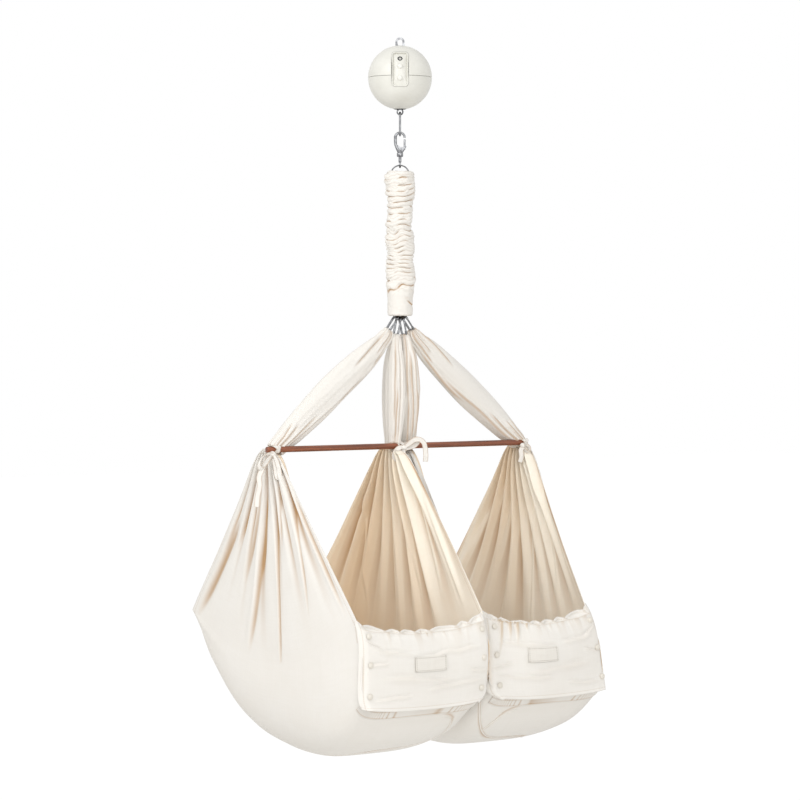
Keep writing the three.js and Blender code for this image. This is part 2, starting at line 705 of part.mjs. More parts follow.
addMesh(turned, 'ceiling_eye', ceilingEye(), finishes.steel());
addMesh(turned, 'upper_shell', upperShell(), finishes.shell());
addMesh(turned, 'lower_shell', lowerShell(), finishes.shell());
addMesh(turned, 'control_panel', controlPanel(), finishes.shell());
addMesh(turned, 'power_socket', powerSocket(), finishes.darkPlastic());
addMesh(turned, 'start_button', pushButton(button.startRise), finishes.shell());
addMesh(turned, 'rhythm_button', pushButton(button.rhythmRise), finishes.shell());
addMesh(turned, 'control_board', block(
  board.width, board.thickness, board.height, 0, (boardFront + boardBack) / 2, boardMiddle,
), finishes.board());
addMesh(turned, 'chassis', chassisPlate(), finishes.innerPlastic());
addMesh(turned, 'gear_motor', gearMotor(), finishes.steel());
addMesh(turned, 'motor_pinion', motorPinion(), finishes.brass());
addMesh(turned, 'gear_axle', gearAxle(), finishes.steel());
addMesh(turned, 'drive_gear', driveGear(), finishes.innerPlastic());
addMesh(turned, 'lift_rack', liftRack(), finishes.steel());
addMesh(turned, 'guide_bush', guideBush(), finishes.brass());
addMesh(turned, 'outlet_grommet', outletGrommet(), finishes.rubber());
addMesh(turned, 'left_shell_screw', shellScrew(-screw.offset), finishes.steel());
addMesh(turned, 'right_shell_screw', shellScrew(screw.offset), finishes.steel());

// Link, snap hook and swivel

function ovalLink() {
  const radius = link.width / 2 - link.wireRadius;
  const [top, low] = [linkTop - radius, linkLow + radius];
  const outline = (reach) => {
    const shape = new THREE.Shape();
    shape.absarc(0, top, radius + reach, 0, Math.PI);
    shape.absarc(0, low, radius + reach, Math.PI, 2 * Math.PI);
    shape.closePath();
    return shape;
  };
  const shape = outline(link.wireRadius);
  shape.holes.push(new THREE.Path(outline(-link.wireRadius).getPoints(counts.bend / 2)));
  const chamfer = 2 * link.wireRadius * link.chamferShare;
  return plate(shape, 2 * link.wireRadius, chamfer).rotateZ(Math.PI / 2);
}

const gateFoot = { x: hook.bowRadius, z: hookBowCentre - hook.sideLength };
const gateTop = gateFoot.z + hook.gateLength;

function snapHook() {
  const points = [[hook.bowRadius, 0, gateTop + hook.gateRadius + clearance]];
  for (let i = 0; i <= counts.bend; i += 1) {
    const angle = Math.PI * i / counts.bend;
    points.push([hook.bowRadius * Math.cos(angle), 0, hookBowCentre + hook.bowRadius * Math.sin(angle)]);
  }
  points.push([-hook.bowRadius, 0, gateFoot.z], [-hook.waist / 2, 0, hookFoot]);
  points.push([0, 0, hookFoot - hook.wireRadius]);
  const bow = wire(curveThrough(points), hook.wireRadius, counts.wire, 2 * counts.bend);
  const heel = wire(curveThrough([
    [gateFoot.x - hook.gateRadius / 2, 0, gateFoot.z - 2 * hook.gateRadius], [hook.waist / 2, 0, hookFoot],
    [0, 0, hookFoot - hook.wireRadius],
  ]), hook.wireRadius, counts.wire, counts.wire);
  const collar = tubeRing(swivel.shankRadius + clearance, hook.collarRadius, collarFoot, hookFoot);
  const shoulder = disc(hook.waist, hookFoot - clearance, hookFoot + 2 * hook.wireRadius);
  const headRoom = disc(
    swivel.headRadius + clearance, collarFoot + hook.wireRadius, hookFoot - hook.wireRadius / 2,
  );
  const lugs = [-1, 1].map((side) => {
    const middle = side * (hook.gateRadius + clearance + hook.pinRadius / 2);
    return moved(
      alongY(disc(hook.lugRadius, middle - hook.pinRadius / 2, middle + hook.pinRadius / 2, counts.wire)),
      gateFoot.x, 0, gateFoot.z,
    );
  });
  const bridge = block(
    2 * hook.lugRadius, 2 * hook.gateRadius + 2 * clearance + 2 * hook.pinRadius, hook.gateRadius,
    gateFoot.x - hook.gateRadius, 0, gateFoot.z - hook.gateRadius - clearance - hook.gateRadius / 2,
  );
  const pinHole = moved(
    alongY(disc(hook.pinRadius + clearance, -2 * hook.lugRadius, 2 * hook.lugRadius, counts.wire)),
    gateFoot.x, 0, gateFoot.z,
  );
  return cut(joined(bow, heel, collar, shoulder, ...lugs, bridge), headRoom, pinHole);
}

function snapGate() {
  const rod = moved(disc(hook.gateRadius, 0, hook.gateLength, counts.wire), gateFoot.x, 0, gateFoot.z);
  const ball = new THREE.SphereGeometry(hook.gateRadius, counts.wire, counts.wire / 2);
  const foot = moved(ball, gateFoot.x, 0, gateFoot.z);
  const pinHole = moved(
    alongY(disc(hook.pinRadius + clearance, -hook.lugRadius, hook.lugRadius, counts.wire)),
    gateFoot.x, 0, gateFoot.z,
  );
  return cut(joined(rod, foot), pinHole);
}

function snapPin() {
  const reach = hook.gateRadius + clearance + hook.pinRadius;
  return moved(alongY(disc(hook.pinRadius, -reach, reach, counts.wire)), gateFoot.x, 0, gateFoot.z);
}

function swivelEye() {
  const headLow = collarFoot + hook.wireRadius + clearance;
  const shankFoot = swivelEyeCentre + swivel.eyeRadius - swivel.eyeWire / 2;
  const shank = revolved([
    [0, shankFoot], [swivel.shankRadius, shankFoot], [swivel.shankRadius, headLow],
    [swivel.headRadius, headLow], [swivel.headRadius, headLow + swivel.headThickness / 2],
    [0, headLow + swivel.headThickness / 2],
  ], counts.round);
  const loop = new THREE.TorusGeometry(swivel.eyeRadius, swivel.eyeWire, counts.wire, counts.round);
  return joined(shank, moved(loop.rotateX(Math.PI / 2).rotateZ(Math.PI / 2), 0, 0, swivelEyeCentre));
}

function standingRing(radius, wireRadius, centre) {
  const ring = new THREE.TorusGeometry(radius, wireRadius, counts.wire, 2 * counts.bend).rotateX(Math.PI / 2);
  return outwards(moved(ring, 0, 0, centre));
}

addMesh(turned, 'oval_link', ovalLink(), finishes.steel());
addMesh(turned, 'snap_hook', snapHook(), finishes.steel());
addMesh(turned, 'snap_hook_gate', snapGate(), finishes.steel());
addMesh(turned, 'snap_hook_pin', snapPin(), finishes.steel());
addMesh(turned, 'swivel_eye', swivelEye(), finishes.steel());
const highRing = standingRing(topRing.radius, topRing.wireRadius, topRingCentre);
addMesh(turned, 'top_ring', highRing, finishes.steel());

// Spring and sleeve

// The end hook of the spring: a lead up the middle and three quarters of a turn about the ring's wire.
function springHook(sign, ringWire, ringHeight, turn) {
  const reach = ringWire + spring.wireRadius + spring.hookRoom;
  const points = [];
  for (let i = 0; i <= counts.bend; i += 1) {
    const angle = mix(...spring.hookShares, i / counts.bend) * Math.PI;
    const out = reach * Math.cos(angle);
    points.push([-out * Math.sin(turn), out * Math.cos(turn), ringHeight + sign * reach * Math.sin(angle)]);
  }
  return points;
}

function tensionSpring() {
  const coil = [];
  const total = spring.turns * counts.springSteps;
  for (let i = 0; i <= total; i += 1) {
    const angle = 2 * Math.PI * i / counts.springSteps;
    const height = mix(springTop, springFoot, i / total);
    coil.push([spring.radius * Math.cos(angle), spring.radius * Math.sin(angle), height]);
  }
  const topLow = topRingCentre - topRing.radius;
  const lowTop = bottomRingCentre + bottomRing.radius;
  const topHook = springHook(1, topRing.wireRadius, topLow, faceTurn).reverse();
  const lowHook = springHook(-1, bottomRing.wireRadius, lowTop, 0);
  const points = [...topHook, ...coil, ...lowHook];
  const curve = curveThrough(points);
  return wire(curve, spring.wireRadius, counts.springSides, points.length - 1);
}

function sleeveRadius(share, angle) {
  const fromFoot = share * sleeve.length;
  const gathered = smooth((fromFoot - sleeve.cuff / 2) / sleeve.cuff);
  const twist = sleeve.twistShare * Math.sin(angle) / Math.PI;
  const wave = Math.sin(2 * Math.PI * (sleeve.ruffles * share + twist));
  const second = Math.sin(2 * Math.PI * sleeve.secondShare * sleeve.ruffles * share + 2 * angle);
  const closing = 1 - smooth(fromFoot / sleeve.cuff) + smooth((share - 1 + sleeve.topShare) / sleeve.topShare);
  const neck = sleeve.neckShare * sleeve.ruffle * closing;
  const fold = sleeve.waveShares[0] * wave + sleeve.waveShares[1] * second;
  return sleeve.radius - neck + gathered * sleeve.ruffle * fold;
}

function springSleeve() {
  const boreSteps = 2;
  const loop = counts.sleeveSteps + 1 + boreSteps + 1;
  const foot = sleeveTop - sleeve.length;
  const pointAt = (i, turn) => {
    const angle = 2 * Math.PI * turn;
    const outside = i <= counts.sleeveSteps;
    const share = outside ? i / counts.sleeveSteps : 1 - (i - counts.sleeveSteps - 1) / boreSteps;
    const radius = outside ? sleeveRadius(share, angle) : sleeve.bore;
    return [radius * Math.cos(angle), radius * Math.sin(angle), foot + share * sleeve.length];
  };
  return ringSolid(pointAt, loop, counts.sleeveSides);
}

addMesh(group, 'tension_spring', tensionSpring(), finishes.darkSteel());
addMesh(group, 'spring_sleeve', springSleeve(), finishes.cloth());
const lowRing = standingRing(bottomRing.radius, bottomRing.wireRadius, bottomRingCentre);
addMesh(group, 'bottom_ring', lowRing, finishes.darkSteel());

// Carabiners: drawn hanging from the origin, each is swung out about the bottom ring's centre

const carabinerHang = bottomRing.radius - bottomRing.wireRadius - clearance - carabiner.wireRadius;
const carabinerRun = carabiner.length - 2 * carabiner.wireRadius;
const gateLow = -carabinerRun * carabiner.gateShares.bottom;
const gateHigh = -carabinerRun * carabiner.gateShares.top;

function carabinerFrame(radius) {
  const bend = carabiner.halfWidth;
  const points = [[0, -bend, gateLow - carabiner.wireRadius - clearance]];
  for (let i = 0; i <= counts.bend / 2; i += 1) {
    const angle = Math.PI * i / (counts.bend / 2);
    points.push([0, -bend * Math.cos(angle), -carabinerRun + bend - bend * Math.sin(angle)]);
  }
  for (let i = 0; i <= counts.bend / 2; i += 1) {
    const angle = Math.PI * i / (counts.bend / 2);
    points.push([0, bend * Math.cos(angle), -bend + bend * Math.sin(angle)]);
  }
  points.push([0, -bend, gateHigh + carabiner.wireRadius + clearance]);
  return wire(curveThrough(points), radius, counts.wire, 2 * counts.bend);
}

function carabinerGate() {
  const rod = disc(carabiner.gateRadius, gateLow, gateHigh, counts.wire);
  const end = new THREE.SphereGeometry(carabiner.gateRadius, counts.wire, counts.wire / 2);
  const ends = [gateLow, gateHigh].map((z) => moved(end, 0, 0, z));
  return moved(joined(rod, ...ends), 0, -carabiner.halfWidth, 0);
}

function onRing(geometry, angle) {
  return moved(geometry, 0, 0, -carabinerHang).rotateY(angle).translate(0, 0, bottomRingCentre);
}

const carabinerNames = ['left_outer', 'left_inner', 'right_inner', 'right_outer'];
const carabinerTurns = carabiner.fan.map((angle) => -angle * degree);

carabinerNames.forEach((name, i) => {
  const frame = onRing(carabinerFrame(carabiner.wireRadius), carabinerTurns[i]);
  addMesh(group, `${name}_carabiner`, outwards(frame), finishes.steel());
  const gate = onRing(carabinerGate(), carabinerTurns[i]);
  addMesh(group, `${name}_carabiner_gate`, outwards(gate), finishes.steel());
});

// Spreader bar

function spreaderBar() {
  const half = bar.length / 2;
  const geometry = revolved([
    [0, -half], [bar.radius - bar.chamfer, -half], [bar.radius, -half + bar.chamfer],
    [bar.radius, half - bar.chamfer], [bar.radius - bar.chamfer, half], [0, half],
  ], counts.round);
  return geometry.rotateY(Math.PI / 2).translate(bar.shift, -bar.forward, barHeight);
}

addMesh(group, 'spreader_bar', spreaderBar(), finishes.wood());

// Straps: the hammock cloth above the bar, gathered at both ends

function strapEnds(side, outer) {
  const angle = side * (outer ? carabiner.fan[3] : carabiner.fan[2]) * degree;
  const reach = carabinerHang + carabinerRun;
  const top = new THREE.Vector3(reach * Math.sin(angle), 0, bottomRingCentre - reach * Math.cos(angle));
  const away = new THREE.Vector3(Math.sin(angle), 0, -Math.cos(angle));
  const low = new THREE.Vector3(side * (outer ? tieReach : ties.inner), 0, barHeight);
  return { top, away, low };
}

function strapGeometry(side, outer) {
  const { top, away, low } = strapEnds(side, outer);
  const width = outer ? strap.outerWidth : strap.innerWidth;
  const depth = outer ? strap.outerDepth : strap.innerDepth;
  const start = top.clone().addScaledVector(away, -strap.cover);
  const sag = outer ? strap.outerSag : strap.innerSag;
  const middle = start.clone().lerp(low, 0.5).add(new THREE.Vector3(side * sag / 2, 0, outer ? sag / 2 : 0));
  const bend = low.clone().add(new THREE.Vector3(outer ? -side * sag / 6 : 0, 0, strap.straight));
  const curve = new THREE.CatmullRomCurve3([start, middle, bend, low], false, 'centripetal');
  const reachEnd = bundle.reach - clearance;
  const pointAt = (share, turn) => {
    const angle = 2 * Math.PI * turn;
    const centre = curve.getPoint(share);
    const along = curve.getTangent(share);
    const sideways = new THREE.Vector3(along.z, 0, -along.x);
    const swell = Math.sin(Math.PI * share) ** strap.swellPower;
    const across = mix(mix(strap.tip, bundle.halfWidth, share), width, swell);
    const deep = mix(mix(strap.tip, bundle.halfDepth, share), depth, swell);
    const main = strap.waveShares[0] * Math.cos(strap.foldCounts[0] * angle + 1);
    const second = strap.waveShares[1] * Math.cos(strap.foldCounts[1] * angle + 2 * share);
    const fold = 1 - strap.foldShare * swell * (1 - main - second);
    const point = centre.addScaledVector(sideways, across * fold * Math.cos(angle));
    return [point.x, deep * fold * Math.sin(angle), point.z];
  };
  const body = gridSolid(pointAt, counts.strapSteps, counts.strapSides);
  const foot = revolved([
    [0, -bundle.halfWidth], [reachEnd, -bundle.halfWidth],
    [reachEnd, bundle.halfWidth], [0, bundle.halfWidth],
  ], counts.round).rotateY(Math.PI / 2).translate(low.x, 0, low.z);
  const turn = -side * (outer ? carabiner.fan[3] : carabiner.fan[2]) * degree;
  const room = onRing(carabinerFrame(carabiner.wireRadius + clearance), turn);
  const barRoom = revolved([
    [0, -bar.length], [bar.radius + ribbon.thickness + 2 * clearance, -bar.length],
    [bar.radius + ribbon.thickness + 2 * clearance, bar.length], [0, bar.length],
  ], counts.round).rotateY(Math.PI / 2).translate(0, -bar.forward, barHeight);
  return cut(joined(body, foot), outwards(room), barRoom);
}

for (const side of [-1, 1]) {
  const name = side < 0 ? 'left' : 'right';
  addMesh(group, `${name}_outer_strap`, strapGeometry(side, true), finishes.cloth());
  addMesh(group, `${name}_inner_strap`, strapGeometry(side, false), finishes.cloth());
}

// Ribbons that tie the cloth to the bar

function tieRibbon(x) {
  const cuff = tubeRing(
    bar.radius + clearance, bar.radius + clearance + ribbon.thickness, -ribbon.width / 2, ribbon.width / 2,
  ).rotateY(Math.PI / 2);
  const front = -bar.radius - clearance - ribbon.knot / 2;
  const knot = new THREE.SphereGeometry(ribbon.knot / 2, counts.wire, counts.wire).translate(0, front, 0);
  const bow = [-1, 1].map((way) => {
    const points = [];
    for (let i = 0; i <= counts.bend; i += 1) {
      const angle = 2 * Math.PI * i / counts.bend;
      const out = ribbon.slantShare * ribbon.loop / 2 * (1 - Math.cos(angle));
      const swing = ribbon.loopWidth / 2 * Math.sin(angle);
      points.push([way * out, front - ribbon.thickness, swing - out]);
    }
    return wire(curveThrough(points), ribbon.thickness, counts.ribbon, counts.bend);
  });
  const tails = [-1, 1].map((way) => {
    const spread = way * ribbon.width / 3;
    return wire(curveThrough([
      [0, front, 0], [spread, front - ribbon.thickness, -ribbon.tail / 3],
      [spread * ribbon.spreadShare, front, -ribbon.tail],
    ]), ribbon.thickness, counts.ribbon, counts.ribbon);
  });
  return joined(cuff, knot, ...bow, ...tails).translate(x, -bar.forward, barHeight);
}

addMesh(group, 'left_tie', tieRibbon(-tieReach), finishes.cloth());
addMesh(group, 'centre_tie', tieRibbon(0), finishes.cloth());
addMesh(group, 'right_tie', tieRibbon(tieReach), finishes.cloth());

// Hammocks: the cloth fans out about the line through the ties, so a place is a fan angle and a distance

const depthCurve = new THREE.SplineCurve(bowlDepths.map((depth, i) => new THREE.Vector2(i, depth)));

function bowlDepth(angle) {
  const share = THREE.MathUtils.clamp((angle + cloth.frontLow) / (cloth.back + cloth.frontLow), 0, 1);
  return depthCurve.getPoint(share).y;
}

// Where the seam between wall and bowl lies across the hammock, from -1 at the front to 1 at the back
function tuckAt(place, name) {
  const [front, back] = [Math.max(-place, 0) ** 3, Math.max(place, 0) ** 3];
  return cloth.frontTuck[name] * front + cloth.backTuck[name] * back;
}

const outerSeam = (place) => tieReach - tuckAt(place, 'outer');
const innerSeam = (place) => cloth.innerSeam + tuckAt(place, 'inner');

function inFan(x, angle, distance) {
  return [x, distance * Math.sin(angle), barHeight - distance * Math.cos(angle)];
}

function wallSheet(side, outer) {
  const pointAt = (a, b) => {
    const angle = mix(-cloth.frontTop, cloth.back, a);
    const distance = mix(bundle.reach, cloth.seam - clearance / 2, b);
    const place = 2 * a - 1;
    const low = outer ? outerSeam(place) : innerSeam(place);
    const top = outer ? tieReach : ties.inner;
    const fade = Math.min(1, cloth.fadeShare * Math.min(a, 1 - a));
    const turn = 2 * Math.PI * cloth.folds * a;
    const [main, second] = [Math.sin(turn), Math.sin(cloth.secondShare * turn + 2)];
    const wave = cloth.waveShares[0] * main + cloth.waveShares[1] * second;
    const depth = mix(cloth.tieFold, cloth.seamFold, smooth(b)) * fade * (1 - b ** 6);
    const belly = (outer ? cloth.belly : 0) * Math.sin(Math.PI * b) * (1 - place ** 2);
    return inFan(side * (mix(top, low, b) + depth * wave + belly), angle, distance);
  };
  return sheetSolid(pointAt, counts.clothAlong, counts.wallDown, () => cloth.thickness);
}

function bowlPower(place) {
  if (place < 0) return mix(bowlPowers.middle, bowlPowers.front, place ** 2);
  return mix(bowlPowers.middle, bowlPowers.back, place);
}

function bowlSheet(side) {
  const pointAt = (a, b) => {
    const place = 2 * b - 1;
    const power = 2 / bowlPower(place);
    const [across, down] = [Math.cos(Math.PI * a), Math.sin(Math.PI * a)];
    const share = Math.max(down, 0) ** power;
    const front = mix(cloth.frontTop, cloth.frontLow, smooth(share));
    const angle = mix(-front, cloth.back, b);
    const start = cloth.seam + clearance / 2;
    const [outer, inner] = [outerSeam(place), innerSeam(place)];
    const x = (outer + inner) / 2 + (outer - inner) / 2 * Math.sign(across) * Math.abs(across) ** power;
    return inFan(side * x, angle, start + (bowlDepth(angle) - start) * share);
  };
  return sheetSolid(pointAt, counts.bowlAround, counts.clothAlong, () => cloth.thickness);
}

function mattressCushion(side) {
  const fill = (a, b) => {
    const round = (share) => 1 - Math.abs(2 * share - 1) ** mattress.roundPower;
    return mattress.thickness * mix(mattress.edgeShare, 1, Math.sqrt(round(a) * round(b)));
  };
  const pointAt = (a, b) => {
    const angle = mix(mattress.front, mattress.back, b);
    const place = 2 * (angle + cloth.frontLow) / (cloth.back + cloth.frontLow) - 1;
    const power = bowlPower(place);
    const taper = mattress.taperShare * Math.abs(2 * b - 1) ** 3;
    const across = mattress.widthShare * (2 * a - 1) * (1 - taper);
    const share = (1 - Math.abs(across) ** power) ** (1 / power);
    const [outer, inner] = [outerSeam(place), innerSeam(place)];
    const under = cloth.seam + (bowlDepth(angle) - cloth.seam) * share - cloth.thickness / 2 - mattress.seat;
    return inFan(side * ((outer + inner) / 2 + (outer - inner) / 2 * across), angle, under - fill(a, b) / 2);
  };
  return sheetSolid(pointAt, counts.cushion, counts.cushion, fill);
}

// Front flaps: a place on the flap runs from its outer to its inner edge and from its foot to its top

function rimPoint(share) {
  return inFan(0, -mix(cloth.frontTop, cloth.frontLow, smooth(share)), mix(cloth.seam, bowlDepths[0], share));
}

const flapStandOff = (flap.seatShare * cloth.thickness + flap.thickness) / 2 + clearance;

function flapPoint(side, a, h, offset) {
  const outer = outerSeam(-1) + flap.lap.outer - flap.topInset.outer * h;
  const inner = innerSeam(-1) - flap.lap.inner + flap.topInset.inner * h;
  const arch = Math.sin(Math.PI * a);
  const rim = rimPoint(1 - h);
  const y = rim[1] - flapStandOff - flap.bulge * arch * Math.sin(Math.PI * h ** flap.archPower);
  const z = rim[2] + flap.rise * h - flap.dip * arch ** flap.archPower * h ** 2;
  const gathered = smooth((h - 1 + 2 * flap.casingShare) / flap.casingShare / 2) * flap.ruffle * arch;
  return [side * mix(outer, inner, a), y - offset + gathered * Math.sin(2 * Math.PI * flap.ruffles * a), z];
}

function flapThickness(h) {
  return flap.thickness + flap.casing * smooth((h - 1 + flap.casingShare + flap.edgeShare) / flap.edgeShare);
}

function frontFlap(side) {
  return sheetSolid(
    (a, h) => flapPoint(side, a, h, 0), counts.flapAcross, counts.flapUp, (a, h) => flapThickness(h),
  );
}

function onFlap(side, columns, rows, thickness) {
  const offset = (flap.thickness + thickness) / 2 + 2 * clearance;
  const pointAt = (a, h) => flapPoint(
    side, mix(...columns, a) / counts.flapAcross, mix(...rows, h) / counts.flapUp, offset,
  );
  return sheetSolid(pointAt, columns[1] - columns[0], rows[1] - rows[0], () => thickness);
}

function snapStrip(side, inner) {
  const columns = inner ? [counts.flapAcross - 1, counts.flapAcross] : [0, 1];
  const tape = onFlap(side, columns, [0, counts.flapUp - 1], snap.tapeThickness);
  const middle = (columns[0] + columns[1]) / 2 / counts.flapAcross;
  const caps = snap.levelShares.map((level) => {
    const cap = revolved([
      [0, 0], [snap.radius, 0], [snap.radius * snap.capShare, snap.dome], [0, snap.dome],
    ], counts.small);
    const offset = flap.thickness / 2 + 2 * clearance + snap.tapeThickness;
    return cap.rotateX(Math.PI / 2).translate(...flapPoint(side, middle, level, offset));
  });
  return joined(tape, ...caps);
}

for (const side of [-1, 1]) {
  const name = side < 0 ? 'left' : 'right';
  addMesh(group, `${name}_outer_wall`, wallSheet(side, true), finishes.cloth());
  addMesh(group, `${name}_inner_wall`, wallSheet(side, false), finishes.cloth());
  addMesh(group, `${name}_bowl`, bowlSheet(side), finishes.cloth());
  addMesh(group, `${name}_mattress`, mattressCushion(side), finishes.cushion());
  addMesh(group, `${name}_front_flap`, frontFlap(side), finishes.cloth());
  addMesh(group, `${name}_outer_snaps`, snapStrip(side, false), finishes.shell());
  addMesh(group, `${name}_inner_snaps`, snapStrip(side, true), finishes.shell());
  addMesh(group, `${name}_label`, onFlap(side, label.columns, label.rows, label.thickness), finishes.label());
}

export default group;
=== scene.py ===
from math import asin, cos, exp, pi, radians, sin, sqrt

import bmesh
import bpy
from mathutils import Matrix, Vector, noise


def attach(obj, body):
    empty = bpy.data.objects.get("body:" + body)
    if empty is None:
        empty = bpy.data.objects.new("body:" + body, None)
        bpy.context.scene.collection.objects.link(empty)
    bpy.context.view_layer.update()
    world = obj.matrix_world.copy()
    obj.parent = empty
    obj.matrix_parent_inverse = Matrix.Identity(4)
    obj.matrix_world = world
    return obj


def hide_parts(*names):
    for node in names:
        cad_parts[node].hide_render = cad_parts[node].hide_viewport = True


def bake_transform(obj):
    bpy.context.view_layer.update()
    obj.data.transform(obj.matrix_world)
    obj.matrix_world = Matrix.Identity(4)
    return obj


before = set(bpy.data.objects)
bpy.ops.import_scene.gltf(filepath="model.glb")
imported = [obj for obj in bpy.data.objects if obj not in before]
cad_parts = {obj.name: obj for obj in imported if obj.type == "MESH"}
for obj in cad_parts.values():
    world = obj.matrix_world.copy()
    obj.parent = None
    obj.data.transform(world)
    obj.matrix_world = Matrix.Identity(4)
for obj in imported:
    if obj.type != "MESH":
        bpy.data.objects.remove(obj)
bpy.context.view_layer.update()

scene = bpy.context.scene
sides = {"left": -1, "right": 1}
print("frame loaded,", len(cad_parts), "nodes")


# Small helpers. Lengths are metres.

def mix(first, second, share):
    return first + (second - first) * share


def clamp(value):
    return min(max(value, 0), 1)


def smooth(share):
    held = clamp(share)
    return held * held * (3 - 2 * held)


def bump(x):
    return exp(-x * x)


def rippled(x, y, z=0.0):
    return noise.noise(Vector((x, y, z)))


def sideWord(side):
    return "left" if side < 0 else "right"


def splineAt(table, share):
    place = clamp(share) * (len(table) - 1)
    i = min(int(place), len(table) - 2)
    t = place - i
    p1, p2 = table[i], table[i + 1]
    p0, p3 = table[max(i - 1, 0)], table[min(i + 2, len(table) - 1)]
    v0, v1 = (p2 - p0) / 2, (p3 - p1) / 2
    return mix(p1, p2, smooth(t)) + (t**3 - 2 * t**2 + t) * v0 + (t**3 - t**2) * v1


def splinePoint(points, share):
    return Vector([splineAt([point[k] for point in points], share) for k in range(3)])


def smoothPath(points, steps):
    return [splinePoint(points, i / steps) for i in range(steps + 1)]


# Camera, floor and light

photoView = {"azimuth": -37, "distance": 6.426, "height": -0.566, "pitch": 1.436, "lens": 141.75, "sensor": 36}
studio = {
    "floorHeight": -2.0, "floorSize": 40, "floorColour": (0.88, 0.87, 0.85), "floorGlow": 0.88, "glowStrength": 1.08,
    "worldLight": 0.73, "keyPower": 60, "keySize": 2.0, "keyAzimuth": -80, "keyLift": 36,
    "fillPower": 62, "fillSize": 3.0, "fillAzimuth": -22, "fillLift": 14, "lampDistance": 4.2, "aim": (0, 0, -0.85),
}


def giveInput(tree, made, name, value):
    if isinstance(value, bpy.types.NodeSocket):
        tree.links.new(value, made.inputs[name])
    else:
        made.inputs[name].default_value = value


def addNode(tree, kind, inputs=None, **settings):
    made = tree.nodes.new("ShaderNode" + kind)
    for name, value in settings.items():
        setattr(made, name, value)
    for name, value in (inputs or {}).items():
        giveInput(tree, made, name, value)
    return made


def addMath(tree, operation, *values):
    return addNode(tree, "Math", dict(enumerate(values)), operation=operation).outputs[0]


def backdropFactor(tree):
    path = addNode(tree, "LightPath").outputs
    seen = addMath(tree, "MAXIMUM", path["Is Camera Ray"], path["Is Glossy Ray"])
    return addMath(tree, "MAXIMUM", seen, path["Is Transmission Ray"])


def meshObject(name, bm):
    mesh = bpy.data.meshes.new(name)
    bm.to_mesh(mesh)
    bm.free()
    made = bpy.data.objects.new(name, mesh)
    scene.collection.objects.link(made)
    return made


def addCamera():
    turn = radians(photoView["azimuth"])
    camera = bpy.data.objects.new("photoCamera", bpy.data.cameras.new("photoCamera"))
    camera.data.lens, camera.data.sensor_width = photoView["lens"], photoView["sensor"]
    camera.data.clip_end = 100
    camera.location = (
        sin(turn) * photoView["distance"], -cos(turn) * photoView["distance"], photoView["height"])
    camera.rotation_euler = (radians(90 - photoView["pitch"]), 0, turn)
    scene.collection.objects.link(camera)
    scene.camera = camera


def addLamp(name, power, size, azimuth, lift):
    aim = Vector(studio["aim"])
    turn, rise = radians(azimuth), radians(lift)
    place = aim + studio["lampDistance"] * Vector((sin(turn) * cos(rise), -cos(turn) * cos(rise), sin(rise)))
    lamp = bpy.data.objects.new(name, bpy.data.lights.new(name, "AREA"))
    lamp.data.energy, lamp.data.size = power, size
    lamp.location = place
    lamp.rotation_euler = (aim - place).to_track_quat("-Z", "Y").to_euler()
    scene.collection.objects.link(lamp)


def addStudio():
    bm = bmesh.new()
    bmesh.ops.create_grid(bm, x_segments=1, y_segments=1, size=studio["floorSize"] / 2)
    bmesh.ops.translate(bm, verts=bm.verts, vec=(0, 0, studio["floorHeight"]))
    floor = meshObject("studioFloor", bm)
    material = bpy.data.materials.new("studioFloor")
    material.use_nodes = True
    tree = material.node_tree
    tree.nodes.clear()
    matt = addNode(tree, "BsdfDiffuse", {"Color": (*studio["floorColour"], 1)})
    glow = addNode(tree, "Emission", {"Color": (1, 1, 1, 1), "Strength": studio["glowStrength"]})
    part = addMath(tree, "MULTIPLY", backdropFactor(tree), studio["floorGlow"])
    both = addNode(tree, "MixShader", {0: part, 1: matt.outputs[0], 2: glow.outputs[0]})
    addNode(tree, "OutputMaterial", {"Surface": both.outputs[0]})
    floor.data.materials.append(material)
    world = bpy.data.worlds.new("studio")
    scene.world = world
    world.use_nodes = True
    tree = world.node_tree
    tree.nodes.clear()
    strength = addNode(tree, "Mix", {0: backdropFactor(tree), 2: studio["worldLight"], 3: 1.0})
    back = addNode(tree, "Background", {"Color": (1, 1, 1, 1), "Strength": strength.outputs[0]})
    addNode(tree, "OutputWorld", {"Surface": back.outputs[0]})
    for lamp in ("key", "fill"):
        addLamp(lamp + "Lamp", *(studio[lamp + word] for word in ("Power", "Size", "Azimuth", "Lift")))


addCamera()
addStudio()
scene.view_settings.view_transform = "Standard"
print("camera and studio ready")


# Shader groups

def newGroup(name, inputs, outputs):
    tree = bpy.data.node_groups.new(name, "ShaderNodeTree")
    kinds = {"Vector": "NodeSocketVector"}
    for label, value in inputs.items():
        socket = tree.interface.new_socket(label, in_out="INPUT", socket_type=kinds.get(label, "NodeSocketFloat"))
        if value is not None:
            socket.default_value = value
    for label in outputs:
        tree.interface.new_socket(label, in_out="OUTPUT", socket_type="NodeSocketFloat")
    given, out = tree.nodes.new("NodeGroupInput"), tree.nodes.new("NodeGroupOutput")
    return tree, given.outputs, out


def stretchedNoise(tree, vector, scale, inputs):
    placed = addNode(tree, "Mapping", {"Vector": vector, "Scale": scale}).outputs[0]
    return addNode(tree, "TexNoise", {"Vector": placed, "Scale": 1.0, **inputs}).outputs[0]


def ranged(tree, value, low, high, first=0.0, second=1.0):
    return addNode(tree, "MapRange", {
        "Value": value, "From Min": low, "From Max": high, "To Min": first, "To Max": second}).outputs[0]


